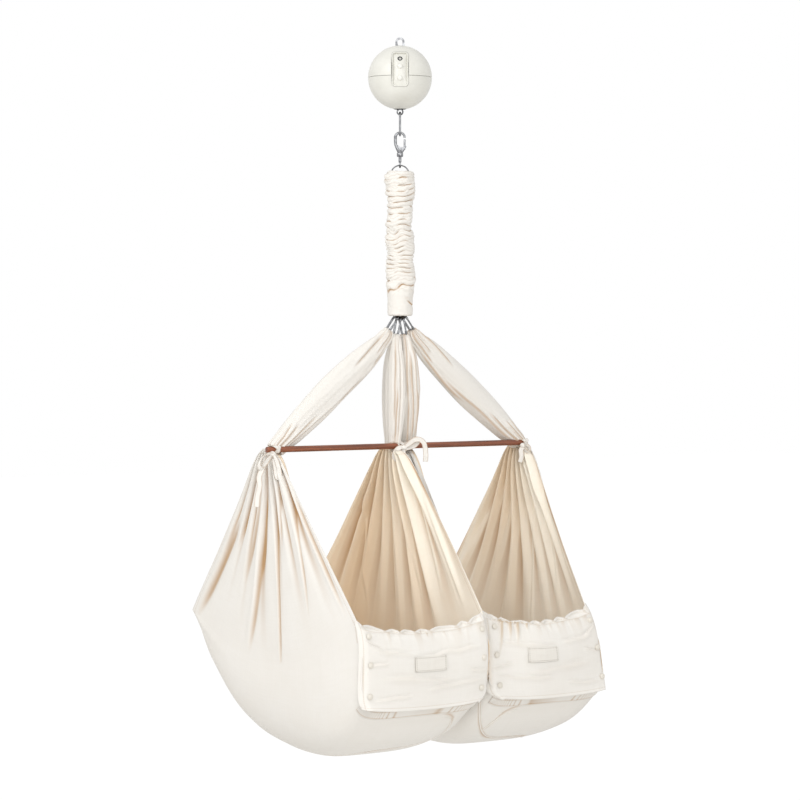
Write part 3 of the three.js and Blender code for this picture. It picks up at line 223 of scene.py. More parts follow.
def plainWeave():
    tree, given, out = newGroup("plainWeave", {"Vector": None, "Threads": 1400.0}, ("Height", "Tone"))
    size = addNode(tree, "VectorMath", {0: given["Vector"], "Scale": given["Threads"]}, operation="SCALE")
    split = addNode(tree, "SeparateXYZ", {0: size.outputs[0]})
    waves = [addMath(tree, "SINE", addMath(tree, "MULTIPLY", split.outputs[axis], pi)) for axis in "XY"]
    height = ranged(tree, addMath(tree, "MULTIPLY", *waves), -1.0, 1.0)
    threads = [stretchedNoise(tree, given["Vector"], scale, {"Detail": 3.0, "Roughness": 0.6})
               for scale in ((260, 18, 1), (18, 260, 1))]  # the warp and the weft are uneven
    half = addMath(tree, "MULTIPLY", addMath(tree, "ADD", *threads), 0.5)
    giveInput(tree, out, "Height", addMath(tree, "MULTIPLY_ADD", half, 0.8, height))
    giveInput(tree, out, "Tone", half)
    return tree


def speckle():
    tree, given, out = newGroup("speckle", {"Vector": None, "Size": 0.0006, "Patch": 0.02}, ("Fine", "Broad"))
    for label, source, detail in (("Fine", "Size", 2.0), ("Broad", "Patch", 4.0)):
        scale = addMath(tree, "DIVIDE", 1.0, given[source])
        spots = addNode(tree, "TexNoise", {"Vector": given["Vector"], "Scale": scale, "Detail": detail})
        giveInput(tree, out, label, spots.outputs[0])
    return tree


def woodGrain():
    tree, given, out = newGroup("woodGrain", {"Vector": None}, ("Tone", "Pores"))
    bend = stretchedNoise(tree, given["Vector"], (5, 140, 140), {
        "Detail": 6.0, "Roughness": 0.55, "Distortion": 0.7})
    pores = stretchedNoise(tree, given["Vector"], (40, 1600, 1600), {"Detail": 2.0})
    giveInput(tree, out, "Tone", ranged(tree, bend, 0.3, 0.7))
    giveInput(tree, out, "Pores", ranged(tree, pores, 0.52, 0.7))
    return tree


def stitchLines():
    # A dashed line of stitches set in from all four edges of a rectangular cut.
    tree, given, out = newGroup(
        "stitchLines", {"Vector": None, "Width": 0.1, "Length": 0.1, "Inset": 0.01}, ("Thread",))
    split = addNode(tree, "SeparateXYZ", {0: given["Vector"]}).outputs
    lines = []
    for axis, other, size in (("X", "Y", "Width"), ("Y", "X", "Length")):
        near = addMath(tree, "MINIMUM", split[axis], addMath(tree, "SUBTRACT", given[size], split[axis]))
        gap = addMath(tree, "ABSOLUTE", addMath(tree, "SUBTRACT", near, given["Inset"]))
        line = ranged(tree, gap, 0.0004, 0.0009, 1.0, 0.0)
        dash = addMath(tree, "FRACT", addMath(tree, "MULTIPLY", split[other], 250.0))
        lines.append(addMath(tree, "MULTIPLY", line, addMath(tree, "LESS_THAN", dash, 0.68)))
    giveInput(tree, out, "Thread", addMath(tree, "MAXIMUM", *lines))
    return tree


weaveGroup, speckleGroup, grainGroup, stitchGroup = plainWeave(), speckle(), woodGrain(), stitchLines()


# Materials

def newMaterial(name, coordinates="Object"):
    material = bpy.data.materials.new(name)
    material.use_nodes = True
    tree = material.node_tree
    return material, tree, tree.nodes["Principled BSDF"], addNode(tree, "TexCoord").outputs[coordinates]


def addGroup(tree, group, inputs):
    return addNode(tree, "Group", inputs, node_tree=group).outputs


def colourMix(tree, factor, first, second):
    pair = [colour if isinstance(colour, bpy.types.NodeSocket) else (*colour, 1) for colour in (first, second)]
    return addNode(tree, "Mix", {0: factor, 6: pair[0], 7: pair[1]}, data_type="RGBA").outputs[2]


def finishShader(tree, shader, inputs, height, strength, distance):
    for name, value in inputs.items():
        giveInput(tree, shader, name, value)
    made = addNode(tree, "Bump", {"Height": height, "Strength": strength, "Distance": distance})
    giveInput(tree, shader, "Normal", made.outputs[0])


def weaveMaterial(name, cloth):
    material, tree, shader, place = newMaterial(name, "UV")
    weave = addGroup(tree, weaveGroup, {"Vector": place, "Threads": cloth["threads"]})
    spots = addGroup(tree, speckleGroup, {"Vector": place, "Size": 0.003, "Patch": 0.09})
    base = colourMix(tree, ranged(tree, weave["Tone"], 0.35, 0.65), cloth["dark"], cloth["light"])
    base = colourMix(tree, ranged(tree, spots["Broad"], 0.35, 0.7, 0.0, cloth["uneven"]), base, cloth["aged"])
    # Painted shade: where a cloth has a shade colour, the shade attribute darkens and warms its base colour towards it.
    if cloth["shade"]:
        depth = addNode(tree, "Attribute", attribute_name="shade").outputs["Fac"]
        base = colourMix(tree, depth, base, cloth["shade"])
    # Painted shade: the base colour darkens towards the tan crease colour where the mask kept on the mesh marks a
    # fold's valley.
    creaseShade = addNode(tree, "Attribute", attribute_name="creaseShade").outputs["Fac"]
    creaseShadeAndStitch = ranged(tree, creaseShade, 0.0, cloth["foldSign"], 0.0, cloth["creaseShadeStrength"])
    base = colourMix(tree, creaseShadeAndStitch, base, cloth["creaseShadeAndStitch"])
    height = weave["Height"]
    if cloth["stitch"]:
        stitches = dict(zip(("Width", "Length", "Inset"), cloth["stitch"]))
        thread = addGroup(tree, stitchGroup, {"Vector": place, **stitches})["Thread"]
        base = colourMix(tree, ranged(tree, thread, 0.0, 1.0, 0.0, 0.45), base, cloth["creaseShadeAndStitch"])
        height = addMath(tree, "MULTIPLY_ADD", thread, -3.0, height)
    finishShader(tree, shader, {
        "Base Color": base, "Roughness": 0.92, "Specular IOR Level": 0.2, "Sheen Weight": 0.1, "Sheen Roughness": 0.5,
    }, height, cloth["depth"], 0.0004)
    return material


def plasticMaterial(name, plastic):
    material, tree, shader, place = newMaterial(name)
    spots = addGroup(tree, speckleGroup, {"Vector": place, "Size": plastic["grain"], "Patch": 0.03})
    finishShader(tree, shader, {
        "Base Color": colourMix(tree, ranged(tree, spots["Broad"], 0.3, 0.7), plastic["dark"], plastic["light"]),
        "Roughness": ranged(tree, spots["Broad"], 0.3, 0.7, plastic["rough"] - 0.05, plastic["rough"] + 0.07),
    }, spots["Fine"], plastic["depth"], 0.0002)
    return material


def metalMaterial(name, metal):
    material, tree, shader, place = newMaterial(name)
    spots = addGroup(tree, speckleGroup, {"Vector": place, "Size": 0.0008, "Patch": 0.008})
    finishShader(tree, shader, {
        "Base Color": colourMix(tree, ranged(tree, spots["Broad"], 0.35, 0.7), metal["light"], metal["dark"]),
        "Metallic": 1, "Roughness": ranged(tree, spots["Broad"], 0.3, 0.75, metal["rough"], metal["rough"] + 0.2),
    }, spots["Fine"], 0.15, 0.0002)
    return material


def woodMaterial(name, wood):
    material, tree, shader, place = newMaterial(name)
    grain = addGroup(tree, grainGroup, {"Vector": place})
    base = colourMix(tree, grain["Tone"], wood["dark"], wood["light"])
    base = colourMix(tree, ranged(tree, grain["Pores"], 0.0, 1.0, 0.0, 0.55), base, wood["pore"])
    finishShader(tree, shader, {
        "Base Color": base, "Coat Weight": 0.25, "Coat Roughness": 0.25,
        "Roughness": ranged(tree, grain["Tone"], 0.0, 1.0, 0.42, 0.3),
    }, grain["Pores"], 0.3, -0.0002)
    return material


# The crease colour is painted shade for the folds' valleys and also the colour of stitch thread; how strongly the
# painted shade shows is set per cloth.
clothLook = {
    "threads": 1500.0, "dark": (0.790, 0.762, 0.714), "light": (0.812, 0.787, 0.744), "aged": (0.765, 0.722, 0.66),
    "uneven": 0.35, "creaseShadeAndStitch": (0.47, 0.30, 0.16), "foldSign": -1.0, "creaseShadeStrength": 1.1, "depth": 0.35,
    "shade": None, "stitch": None,
}
# The inside of the same cloth is painted warmer and lighter than the outside, standing in for warm light bounced
# through and between the cloth; its shade colour is painted shade, mixed in by the shade attribute.
insideLook = {
    **clothLook, "dark": (0.90, 0.845, 0.735), "light": (0.925, 0.875, 0.775), "aged": (0.88, 0.80, 0.67),
    "shade": (0.82, 0.615, 0.395), "foldSign": 1.0, "creaseShadeAndStitch": (0.48, 0.29, 0.15), "creaseShadeStrength": 1.7,
}
materials = {
    "cloth": weaveMaterial("creamCotton", clothLook),
    "clothInside": weaveMaterial("creamCottonInside", insideLook),
    "hammock": weaveMaterial("hemmedCotton", {**clothLook, "stitch": (0.60, 1.36, 0.009)}),
    "hammockInside": weaveMaterial("hemmedCottonInside", {**insideLook, "stitch": (0.60, 1.36, 0.009)}),
    "flap": weaveMaterial("flapCotton", {**clothLook, "creaseShadeAndStitch": (0.56, 0.45, 0.33), "stitch": (0.28, 0.19, 0.006)}),
    "ribbon": weaveMaterial("ribbonCotton", {**clothLook, "threads": 1900.0, "uneven": 0.15}),
    "label": weaveMaterial("labelTwill", {
        **clothLook, "dark": (0.77, 0.735, 0.675), "light": (0.815, 0.785, 0.73), "creaseShadeAndStitch": (0.34, 0.30, 0.24),
        "threads": 2200.0, "stitch": (0.066, 0.030, 0.0024), "depth": 0.5}),
    "mattress": weaveMaterial("mattressCotton", {**clothLook, "light": (0.88, 0.85, 0.80), "threads": 1300.0}),
    "shell": plasticMaterial("shellPlastic", {
        "dark": (0.665, 0.655, 0.60), "light": (0.72, 0.712, 0.66), "rough": 0.4, "grain": 0.0005, "depth": 0.12}),
    "button": plasticMaterial("buttonPlastic", {
        "dark": (0.70, 0.69, 0.64), "light": (0.76, 0.75, 0.70), "rough": 0.35, "grain": 0.0005, "depth": 0.08}),
    "snap": plasticMaterial("snapPlastic", {
        "dark": (0.66, 0.62, 0.545), "light": (0.74, 0.70, 0.63), "rough": 0.3, "grain": 0.0005, "depth": 0.08}),
    "black": plasticMaterial("blackPlastic", {
        "dark": (0.012, 0.012, 0.014), "light": (0.03, 0.03, 0.033), "rough": 0.45, "grain": 0.0004, "depth": 0.2}),
    "inner": plasticMaterial("innerPlastic", {
        "dark": (0.42, 0.42, 0.40), "light": (0.50, 0.50, 0.47), "rough": 0.5, "grain": 0.0006, "depth": 0.2}),
    "board": plasticMaterial("circuitBoard", {
        "dark": (0.02, 0.12, 0.06), "light": (0.04, 0.19, 0.09), "rough": 0.4, "grain": 0.0008, "depth": 0.3}),
    "rubber": plasticMaterial("greyRubber", {
        "dark": (0.20, 0.20, 0.19), "light": (0.28, 0.28, 0.265), "rough": 0.75, "grain": 0.0004, "depth": 0.3}),
    "steel": metalMaterial("zincSteel", {"light": (0.34, 0.345, 0.355), "dark": (0.15, 0.152, 0.16), "rough": 0.27}),
    "darkSteel": metalMaterial("darkSteel", {
        "light": (0.25, 0.255, 0.265), "dark": (0.12, 0.122, 0.13), "rough": 0.33}),
    "brass": metalMaterial("brass", {"light": (0.72, 0.53, 0.24), "dark": (0.50, 0.35, 0.15), "rough": 0.3}),
    "wood": woodMaterial("walnutBar", {
        "dark": (0.10, 0.024, 0.008), "light": (0.37, 0.105, 0.036), "pore": (0.04, 0.012, 0.006)}),
}
print("materials ready")


# Making and placing pieces

def addPiece(name, bm, finish, sharp=None, inside=None):
    piece = meshObject(name, bm)
    for kind in (finish, inside) if inside else (finish,):
        piece.data.materials.append(materials[kind])
    piece.data.shade_smooth()
    if sharp:
        piece.data.set_sharp_from_angle(angle=radians(sharp))
    return piece


def carried(piece, body, *nodes):
    # The piece stands for these nodes of the solids and moves with this body.
    if nodes:
        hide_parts(*nodes)
    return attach(piece, body)


def thickened(piece, thickness, inside=0):
    wall = piece.modifiers.new("thickness", "SOLIDIFY")
    wall.thickness, wall.offset = thickness, 0
    wall.material_offset = inside
    return piece


def settle(bm, distance=1e-6):
    bmesh.ops.remove_doubles(bm, verts=bm.verts, dist=distance)
    bmesh.ops.recalc_face_normals(bm, faces=bm.faces)
    return bm


def revolve(bm, outline, steps):
    verts = [bm.verts.new((radius, 0, height)) for radius, height in outline]
    edges = [bm.edges.new(pair) for pair in zip(verts, verts[1:])]
    bmesh.ops.spin(
        bm, geom=verts + edges, cent=(0, 0, 0), axis=(0, 0, 1), angle=2 * pi, steps=steps, use_merge=True)
    return bm


def turnedPiece(name, outline, steps, finish, sharp):
    return addPiece(name, settle(revolve(bmesh.new(), outline, steps)), finish, sharp)


def newVerts(made):
    return [item for item in made["geom"] if isinstance(item, bmesh.types.BMVert)]


def extrudeLoop(bm, edges):
    made = bmesh.ops.extrude_edge_only(bm, edges=edges)
    verts = newVerts(made)
    known = set(verts)
    return verts, [item for item in made["geom"] if isinstance(item, bmesh.types.BMEdge) and set(item.verts) <= known]


def addSlab(bm, corners, depth):
    # A flat outline that faces along Y, drawn out by the depth.
    face = bm.faces.new([bm.verts.new(corner) for corner in corners])
    made = bmesh.ops.extrude_face_region(bm, geom=[face])
    bmesh.ops.translate(bm, verts=newVerts(made), vec=(0, depth, 0))
    return bm


def pathFrames(points, closed):
    count = len(points)
    tangents = []
    for i in range(count):
        before = points[i - 1] if closed or i else points[0]
        after = points[(i + 1) % count] if closed or i < count - 1 else points[-1]
        tangents.append((after - before).normalized())
    normal = tangents[0].orthogonal().normalized()
    frames = []
    for point, tangent in zip(points, tangents):
        normal = (normal - tangent * normal.dot(tangent)).normalized()
        side = tangent.cross(normal)
        frames.append(Matrix((
            (normal.x, side.x, tangent.x, point.x), (normal.y, side.y, tangent.y, point.y),
            (normal.z, side.z, tangent.z, point.z), (0, 0, 0, 1))))
    return frames


def addRod(bm, path, radius, around, closed=False, radiusAt=None):
    points = [Vector(point) for point in path]
    frames = pathFrames(points, closed)
    ring = bmesh.ops.create_circle(bm, segments=around, radius=1, cap_ends=False)["verts"]
    edges = list({edge for vert in ring for edge in vert.link_edges})
    first, last = edges, None
    for i, placed in enumerate(frames):
        grown = radius * (radiusAt(i / (len(frames) - 1)) if radiusAt else 1)
        now = placed @ Matrix.Diagonal((grown, grown, 1, 1))
        if last is None:
            bmesh.ops.transform(bm, matrix=now, verts=ring)
        else:
            ring, edges = extrudeLoop(bm, edges)
            bmesh.ops.transform(bm, matrix=now @ last.inverted(), verts=ring)
        last = now
    if closed:
        bmesh.ops.bridge_loops(bm, edges=first + edges)
    else:
        for ends in (first, edges):
            bmesh.ops.edgeloop_fill(bm, edges=ends)
    return bm


def rodPiece(name, path, radius, around, finish, closed=False, sharp=None):
    return addPiece(name, settle(addRod(bmesh.new(), path, radius, around, closed)), finish, sharp)


def joinMesh(bm, part):
    mesh = bpy.data.meshes.new("joined")
    part.to_mesh(mesh)
    part.free()
    bm.from_mesh(mesh)
    bpy.data.meshes.remove(mesh)
    return bm


def clothGrid(counts, size, pointAt, reliefAt=None, wrap=False, flip=False, shadeAt=None):
    bm = bmesh.new()
    uvLayer = bm.loops.layers.uv.new("UVMap")
    creaseShadeLayer = bm.verts.layers.float.new("creaseShade")
    shadeLayer = bm.verts.layers.float.new("shade")
    bmesh.ops.create_grid(bm, x_segments=counts[0], y_segments=counts[1], size=0.5)
    shares = {vert: (vert.co.x + 0.5, vert.co.y + 0.5) for vert in bm.verts}
    for face in bm.faces:
        for loop in face.loops:
            u, v = shares[loop.vert]
            loop[uvLayer].uv = (u * size[0], v * size[1])
    for vert, (u, v) in shares.items():
        vert.co = pointAt(u, v)
        # Painted shade amount; a sheet without its own gets a middle amount.
        vert[shadeLayer] = shadeAt(u, v) if shadeAt else 0.5
    if flip:
        bmesh.ops.reverse_faces(bm, faces=bm.faces)
    bm.normal_update()
    if reliefAt:
        moves = {}
        for vert, (u, v) in shares.items():
            # The second value is painted shade, dark in the folds' valleys, kept on the vertex.
            offset, creaseShade = reliefAt(u, v)
            moves[vert] = vert.normal * offset
            vert[creaseShadeLayer] = creaseShade
        for vert, move in moves.items():
            vert.co += move
    if wrap:
        bmesh.ops.remove_doubles(bm, verts=bm.verts, dist=1e-5)
    return bm


# Motor unit: smooth shells with the seam, the recessed panel and its buttons

faceAngle = radians(photoView["azimuth"])
faceTurn = Matrix.Rotation(faceAngle, 4, "Z")
ballShape = {
    "radius": 0.065, "wall": 0.003, "centre": -0.0706, "seam": 0.0006, "seamBevel": 0.0005, "outlet": 0.0135,
    "slot": (0.0194, 0.0046, 0.03), "slotHeight": -0.006, "screwHoles": ((-0.022, 0.036), (0.022, 0.036)),
    "screwHole": 0.0033, "width": 0.0354, "height": 0.0726, "corner": 0.009, "rise": 0.0133, "lip": 0.0012,
    "recess": 0.003, "gap": 0.0003, "window": (0.016, 0.08), "panelWall": 0.0012,
}


def turnFace(piece):
    piece.data.transform(faceTurn)
    return piece


def panelOutline(inset, steps):
    corner = ballShape["corner"] - inset
    half, tall = (ballShape[word] / 2 - inset - corner for word in ("width", "height"))
    points = []
    for quarter, (sx, sz) in enumerate(((1, 1), (-1, 1), (-1, -1), (1, -1))):
        for i in range(steps + 1):
            angle = pi / 2 * (quarter + i / steps)
            points.append((sx * half + corner * cos(angle), ballShape["rise"] + sz * tall + corner * sin(angle)))
    return points


def windowTool():
    near, far = ballShape["window"]
    corners = [(x, -near, z + ballShape["centre"]) for x, z in panelOutline(-ballShape["gap"], 10)]
    return meshObject("windowTool", settle(addSlab(bmesh.new(), corners, near - far)))


def slotTool():
    bm = bmesh.new()
    place = Matrix.Translation((0, 0, ballShape["slotHeight"])) @ Matrix.Diagonal((*ballShape["slot"], 1))
    bmesh.ops.create_cube(bm, size=1, matrix=place)
    return meshObject("slotTool", bm)


def roundTool(radius, height, x=0.0, y=0.0):
    # A drill from below the ball up to this height above its foot.
    bm, below = bmesh.new(), 0.01
    foot = ballShape["centre"] - ballShape["radius"] - below
    bmesh.ops.create_cone(
        bm, cap_ends=True, segments=64, radius1=radius, radius2=radius, depth=height + below,
        matrix=Matrix.Translation((x, y, foot + (height + below) / 2)))
    return meshObject("roundTool", bm)


def carve(piece, tools):
    for tool in tools:
        change = piece.modifiers.new("carve", "BOOLEAN")
        change.object, change.operation, change.solver = tool, "DIFFERENCE", "EXACT"
    bpy.context.view_layer.update()
    graph = bpy.context.evaluated_depsgraph_get()
    mesh = bpy.data.meshes.new_from_object(piece.evaluated_get(graph), depsgraph=graph)
    piece.modifiers.clear()
    piece.data = mesh
    for tool in tools:
        bpy.data.objects.remove(tool)


def arc(radius, first, last, steps):
    angles = [mix(first, last, i / steps) for i in range(steps + 1)]
    return [(radius * cos(angle), radius * sin(angle)) for angle in angles]


def shellHalf(name, sign, tools):
    shape = ballShape
    outer, inner, start, bevel = shape["radius"], shape["radius"] - shape["wall"], shape["seam"] / 2, shape["seamBevel"]
    outline = [(inner, start), (outer - 2 * bevel, start), (outer - bevel, start)]
    outline += arc(outer, asin((start + bevel) / outer), pi / 2, 30) + arc(inner, pi / 2, 0.01, 24)
    bm = revolve(bmesh.new(), [(x, sign * z) for x, z in outline + outline[:1]], 96)
    bmesh.ops.translate(bm, verts=bm.verts, vec=(0, 0, shape["centre"]))
    piece = addPiece(name, settle(bm), "shell")
    carve(piece, tools)
    piece.data.shade_smooth()
    piece.data.set_sharp_from_angle(angle=radians(30))
    return turnFace(piece)


def onBall(x, z, reach):
    return Vector((x, -sqrt(reach**2 - x**2 - z**2), z + ballShape["centre"]))


def placeKey(point):
    return tuple(round(c, 7) for c in point)


def panelPiece():
    shape = ballShape
    outer, floor = shape["radius"] + shape["lip"], shape["radius"] - shape["recess"]
    # Each step is how far in from the panel's edge and the distance from the ball's centre.
    steps = [(0, floor - 0.003), (0, outer - 0.0012), (0.0002, outer - 0.0005), (0.0006, outer - 0.0001),
             (0.0012, outer), (0.0021, outer - 0.0001), (0.0027, outer - 0.0006), (0.003, outer - 0.0014),
             (0.0032, floor + 0.0009), (0.0036, floor + 0.0002), (0.0044, floor)]
    rings = [[onBall(x, z, reach) for x, z in panelOutline(inset, 12)] for inset, reach in steps]
    bm = bmesh.new()
    verts = [bm.verts.new(point) for point in rings[0]]
    edges = [bm.edges.new(pair) for pair in zip(verts, verts[1:] + verts[:1])]
    for before, ring in zip(rings, rings[1:]):
        copies, edges = extrudeLoop(bm, edges)
        near = {placeKey(vert.co): vert for vert in copies}
        for old, point in zip(before, ring):
            near[placeKey(old)].co = point
    # The floor follows the ball in ever smaller rings.
    middle = shape["centre"] + shape["rise"]
    for share in (0.8, 0.75, 2 / 3, 0.5):
        copies, edges = extrudeLoop(bm, edges)
        for vert in copies:
            vert.co = onBall(vert.co.x * share, (vert.co.z - middle) * share + shape["rise"], floor)
    bmesh.ops.edgeloop_fill(bm, edges=edges)
    bmesh.ops.recalc_face_normals(bm, faces=bm.faces)
    bmesh.ops.solidify(bm, geom=bm.faces, thickness=shape["panelWall"])
    return turnFace(addPiece("controlPanel", bm, "shell", 40))


drills = [roundTool(ballShape["outlet"], 0.03)] + [
    roundTool(ballShape["screwHole"], 0.05, *place) for place in ballShape["screwHoles"]]
carried(shellHalf("upperShell", 1, [windowTool(), slotTool()]), "motor_unit", "upper_shell")
carried(shellHalf("lowerShell", -1, [windowTool()] + drills), "motor_unit", "lower_shell")
carried(panelPiece(), "motor_unit", "control_panel")

buttonOutline = [
    (0, -0.0038), (0.0052, -0.0038), (0.0053, -0.0030), (0.0053, 0.0010), (0.0050, 0.0017), (0.0043, 0.0024),
    (0.0032, 0.0030), (0.0018, 0.0034), (0, 0.0035)]
socketOutline = [
    (0, -0.009), (0.005, -0.009), (0.005, 0.0003), (0.0047, 0.0006), (0.0031, 0.0006), (0.0028, 0.0003),
    (0.0028, -0.0057), (0.0009, -0.0057), (0.0009, -0.0005), (0.0006, -0.0002), (0, -0.0002)]


def onPanel(name, outline, steps, rise, finish, sharp):
    reach = ballShape["radius"] - ballShape["recess"]
    angle = asin(rise / reach)
    place = Matrix.Translation((0, -reach * cos(angle), ballShape["centre"] + reach * sin(angle)))
    bm = revolve(bmesh.new(), outline, steps)
    bmesh.ops.transform(bm, matrix=faceTurn @ place @ Matrix.Rotation(pi / 2 - angle, 4, "X"), verts=bm.verts)
    return addPiece(name, settle(bm), finish, sharp)


carried(onPanel("startButton", buttonOutline, 48, 0.019, "button", 50), "start_button", "start_button")
carried(onPanel("rhythmButton", buttonOutline, 48, -0.0053, "button", 50), "rhythm_button", "rhythm_button")
carried(onPanel("powerSocket", socketOutline, 40, 0.0345, "black", 40), "motor_unit", "power_socket")
print("motor unit ready")


# Rings, link, hook and carabiners

linkShape = {"top": -0.1419, "low": -0.1881, "halfWidth": 0.0088, "wire": 0.0022}
hookShape = {
    "bow": 0.0094, "bowCentre": -0.1922, "wire": 0.0028, "gateFoot": -0.2112, "gateTop": -0.1957, "foot": -0.2238,
    "collarFoot": -0.2318, "lug": 0.0034,
}
swivelShape = {"centre": -0.2475, "eye": 0.0052, "wire": 0.0019}
ringShape = {
    "top": {"height": -0.2677, "radius": 0.0186, "wire": 0.0014},
    "bottom": {"height": -0.545, "radius": 0.018, "wire": 0.0025},
}


def circlePath(radius, height, way, steps=64):
    angles = [2 * pi * i / steps for i in range(steps)]
    return [(way[0] * radius * cos(a), way[1] * radius * cos(a), height + radius * sin(a)) for a in angles]


def ovalPath(top, low, half, steps=16):
    points = [(0, y, top - half + z) for y, z in arc(half, 0, pi, steps)]
    return points + [(0, -y, low + half - z) for y, z in arc(half, 0, pi, steps)]


def ringPiece(word, finish):
    ring = ringShape[word]
    path = circlePath(ring["radius"], ring["height"], (1, 0))
    return rodPiece(word + "Ring", path, ring["wire"], 16, finish, True)


carried(turnFace(ringPiece("top", "steel")), "spring_top", "top_ring")
carried(ringPiece("bottom", "darkSteel"), "bottom_ring", "bottom_ring")
linkPath = ovalPath(linkShape["top"], linkShape["low"], linkShape["halfWidth"])
ovalLink = turnFace(rodPiece("ovalLink", linkPath, linkShape["wire"], 16, "steel", True))
carried(ovalLink, "oval_link", "oval_link")


def snapHook():
    shape = hookShape
    bow, high, gate, foot, collar = (shape[word] for word in ("bow", "bowCentre", "gateFoot", "foot", "collarFoot"))
    bm = bmesh.new()
    path = [(bow, 0, shape["gateTop"] + 0.0026)] + [(x, 0, high + z) for x, z in arc(bow, 0, pi, 20)]
    path += smoothPath([(-bow, 0, high), (-bow * 0.98, 0, high - 0.012), (-bow * 0.72, 0, gate - 0.001),
                        (-0.0022, 0, foot + 0.002), (0, 0, foot - 0.001)], 16)[1:]
    addRod(bm, path, shape["wire"], 14, radiusAt=lambda s: mix(0.82, 1.12, smooth(s * 1.4)))
    heel = smoothPath([(bow * 1.02, 0, gate - 0.0028), (bow * 0.7, 0, gate - 0.0058), (0.0028, 0, foot + 0.001),
                       (0, 0, foot - 0.001)], 12)
    addRod(bm, heel, shape["wire"], 14)
    web = [(-bow * 0.97, -0.2035), (-bow * 0.2, -0.2105), (bow * 0.95, -0.2135), (bow * 0.6, -0.2180),
           (0.0036, -0.2232), (-0.0036, -0.2232), (-bow * 0.66, -0.2125)]
    addSlab(bm, [(x, -0.0019, z) for x, z in web], 0.0038)
    for way in (-1, 1):
        bmesh.ops.create_cone(
            bm, cap_ends=True, segments=24, radius1=shape["lug"], radius2=shape["lug"], depth=0.001,
            matrix=Matrix.Translation((bow, way * 0.0028, gate)) @ Matrix.Rotation(pi / 2, 4, "X"))
    outline = [(0.0032, collar), (0.0056, collar), (0.0064, collar + 0.0009), (0.0064, foot - 0.0012), (0.0058, foot),
               (0.0046, foot + 0.0012), (0.0043, foot + 0.005), (0.0032, foot + 0.0062), (0, foot + 0.0066)]
    inner = [(0, foot - 0.0014), (0.0049, foot - 0.0014), (0.0049, collar + 0.0028), (0.0032, collar + 0.0028),
             (0.0032, collar)]
    for loop in (outline, inner):
        revolve(bm, loop, 40)
    return settle(bm)


def swivelEye():
    centre, collar = swivelShape["centre"], hookShape["collarFoot"]
    outline = [(0, centre + 0.004), (0.003, centre + 0.0045), (0.003, collar + 0.0031), (0.0046, collar + 0.0031),
               (0.0046, collar + 0.0043), (0, collar + 0.0043)]
    bm = revolve(bmesh.new(), outline, 32)
    return settle(addRod(bm, circlePath(swivelShape["eye"], centre, (0, 1), 40), swivelShape["wire"], 14, True))


carried(turnFace(addPiece("snapHook", snapHook(), "steel", 45)), "snap_hook", "snap_hook")
gateOutline = [(0, -0.002), (0.0014, -0.0014), (0.002, 0), (0.002, 0.0137), (0.0015, 0.0151), (0, 0.0155)]
snapGate = turnedPiece("snapGate", gateOutline, 24, "steel", 50)
snapGate.data.transform(faceTurn @ Matrix.Translation((hookShape["bow"], 0, hookShape["gateFoot"])))
carried(snapGate, "snap_hook_gate", "snap_hook_gate")
carried(turnFace(addPiece("swivelEye", swivelEye(), "steel", 45)), "swivel_eye", "swivel_eye")

carabinerShape = {
    "length": 0.042, "half": 0.0076, "wire": 0.002, "body": 0.0024, "gate": 0.0018, "gap": 0.0003, "hang": 0.0132,
    "gateTop": 0.29, "gateLow": 0.67,
    "fan": {"left_outer": -38, "left_inner": -12.5, "right_inner": 12.5, "right_outer": 38},
}


def carabinerPieces(name, angle):
    shape = carabinerShape
    half, gate, run = shape["half"], shape["gate"], shape["length"] - 2 * shape["wire"]
    high, low, away = -run * shape["gateTop"], -run * shape["gateLow"], shape["wire"] + shape["gap"]
    oval = ovalPath(0, -run, half)
    middle = len(oval) // 2
    path = [(0, -half, low - away)] + oval[middle:] + oval[:middle] + [(0, -half, high + away)]
    place = (Matrix.Translation((0, 0, ringShape["bottom"]["height"])) @ Matrix.Rotation(radians(-angle), 4, "Y")
             @ Matrix.Translation((0, 0, -shape["hang"])))
    first, second = name.split("_")
    label = first + second.capitalize() + "Carabiner"
    ring = rodPiece(label, path, shape["body"], 14, "steel", sharp=60)
    outline = [(0, low - gate), (gate * 0.7, low - gate * 0.7), (gate, low), (gate, high),
               (gate * 0.7, high + gate * 0.7), (0, high + gate)]
    bar = turnedPiece(label + "Gate", outline, 20, "steel", 60)
    bar.data.transform(Matrix.Translation((0, -half, 0)))
    for piece in (ring, bar):
        piece.data.transform(place)
    carried(ring, "spreader", name + "_carabiner")
    carried(bar, name + "_gate", name + "_carabiner_gate")


for name, angle in carabinerShape["fan"].items():
    carabinerPieces(name, angle)
print("hardware ready")


# Spring and its gathered sleeve

springShape = {
    "radius": 0.013, "wire": 0.0018, "turns": 12, "turnSteps": 24, "top": -0.2863, "foot": -0.527, "hook": 0.009,
    "hookRadius": 0.0047,
}


def springHook(sign, height, turn):
    points = []
    for y, z in arc(springShape["hookRadius"], -0.5 * pi, 0.95 * pi, 12):
        points.append(Vector((-y * sin(turn), y * cos(turn), height + sign * z)))
    return points


def springPath():
    shape = springShape
    top, foot = shape["top"] - shape["hook"], shape["foot"] + shape["hook"]
    steps = shape["turns"] * shape["turnSteps"]
    coil = []
    for i in range(steps + 1):
        angle = 2 * pi * i / shape["turnSteps"]
        coil.append(Vector((shape["radius"] * cos(angle), shape["radius"] * sin(angle), mix(top, foot, i / steps))))
    return springHook(1, shape["top"], faceAngle)[::-1] + coil + springHook(-1, shape["foot"], 0)


springPiece = rodPiece("tensionSpring", springPath(), springShape["wire"], 10, "darkSteel", sharp=60)
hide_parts("tension_spring")
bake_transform(springPiece)

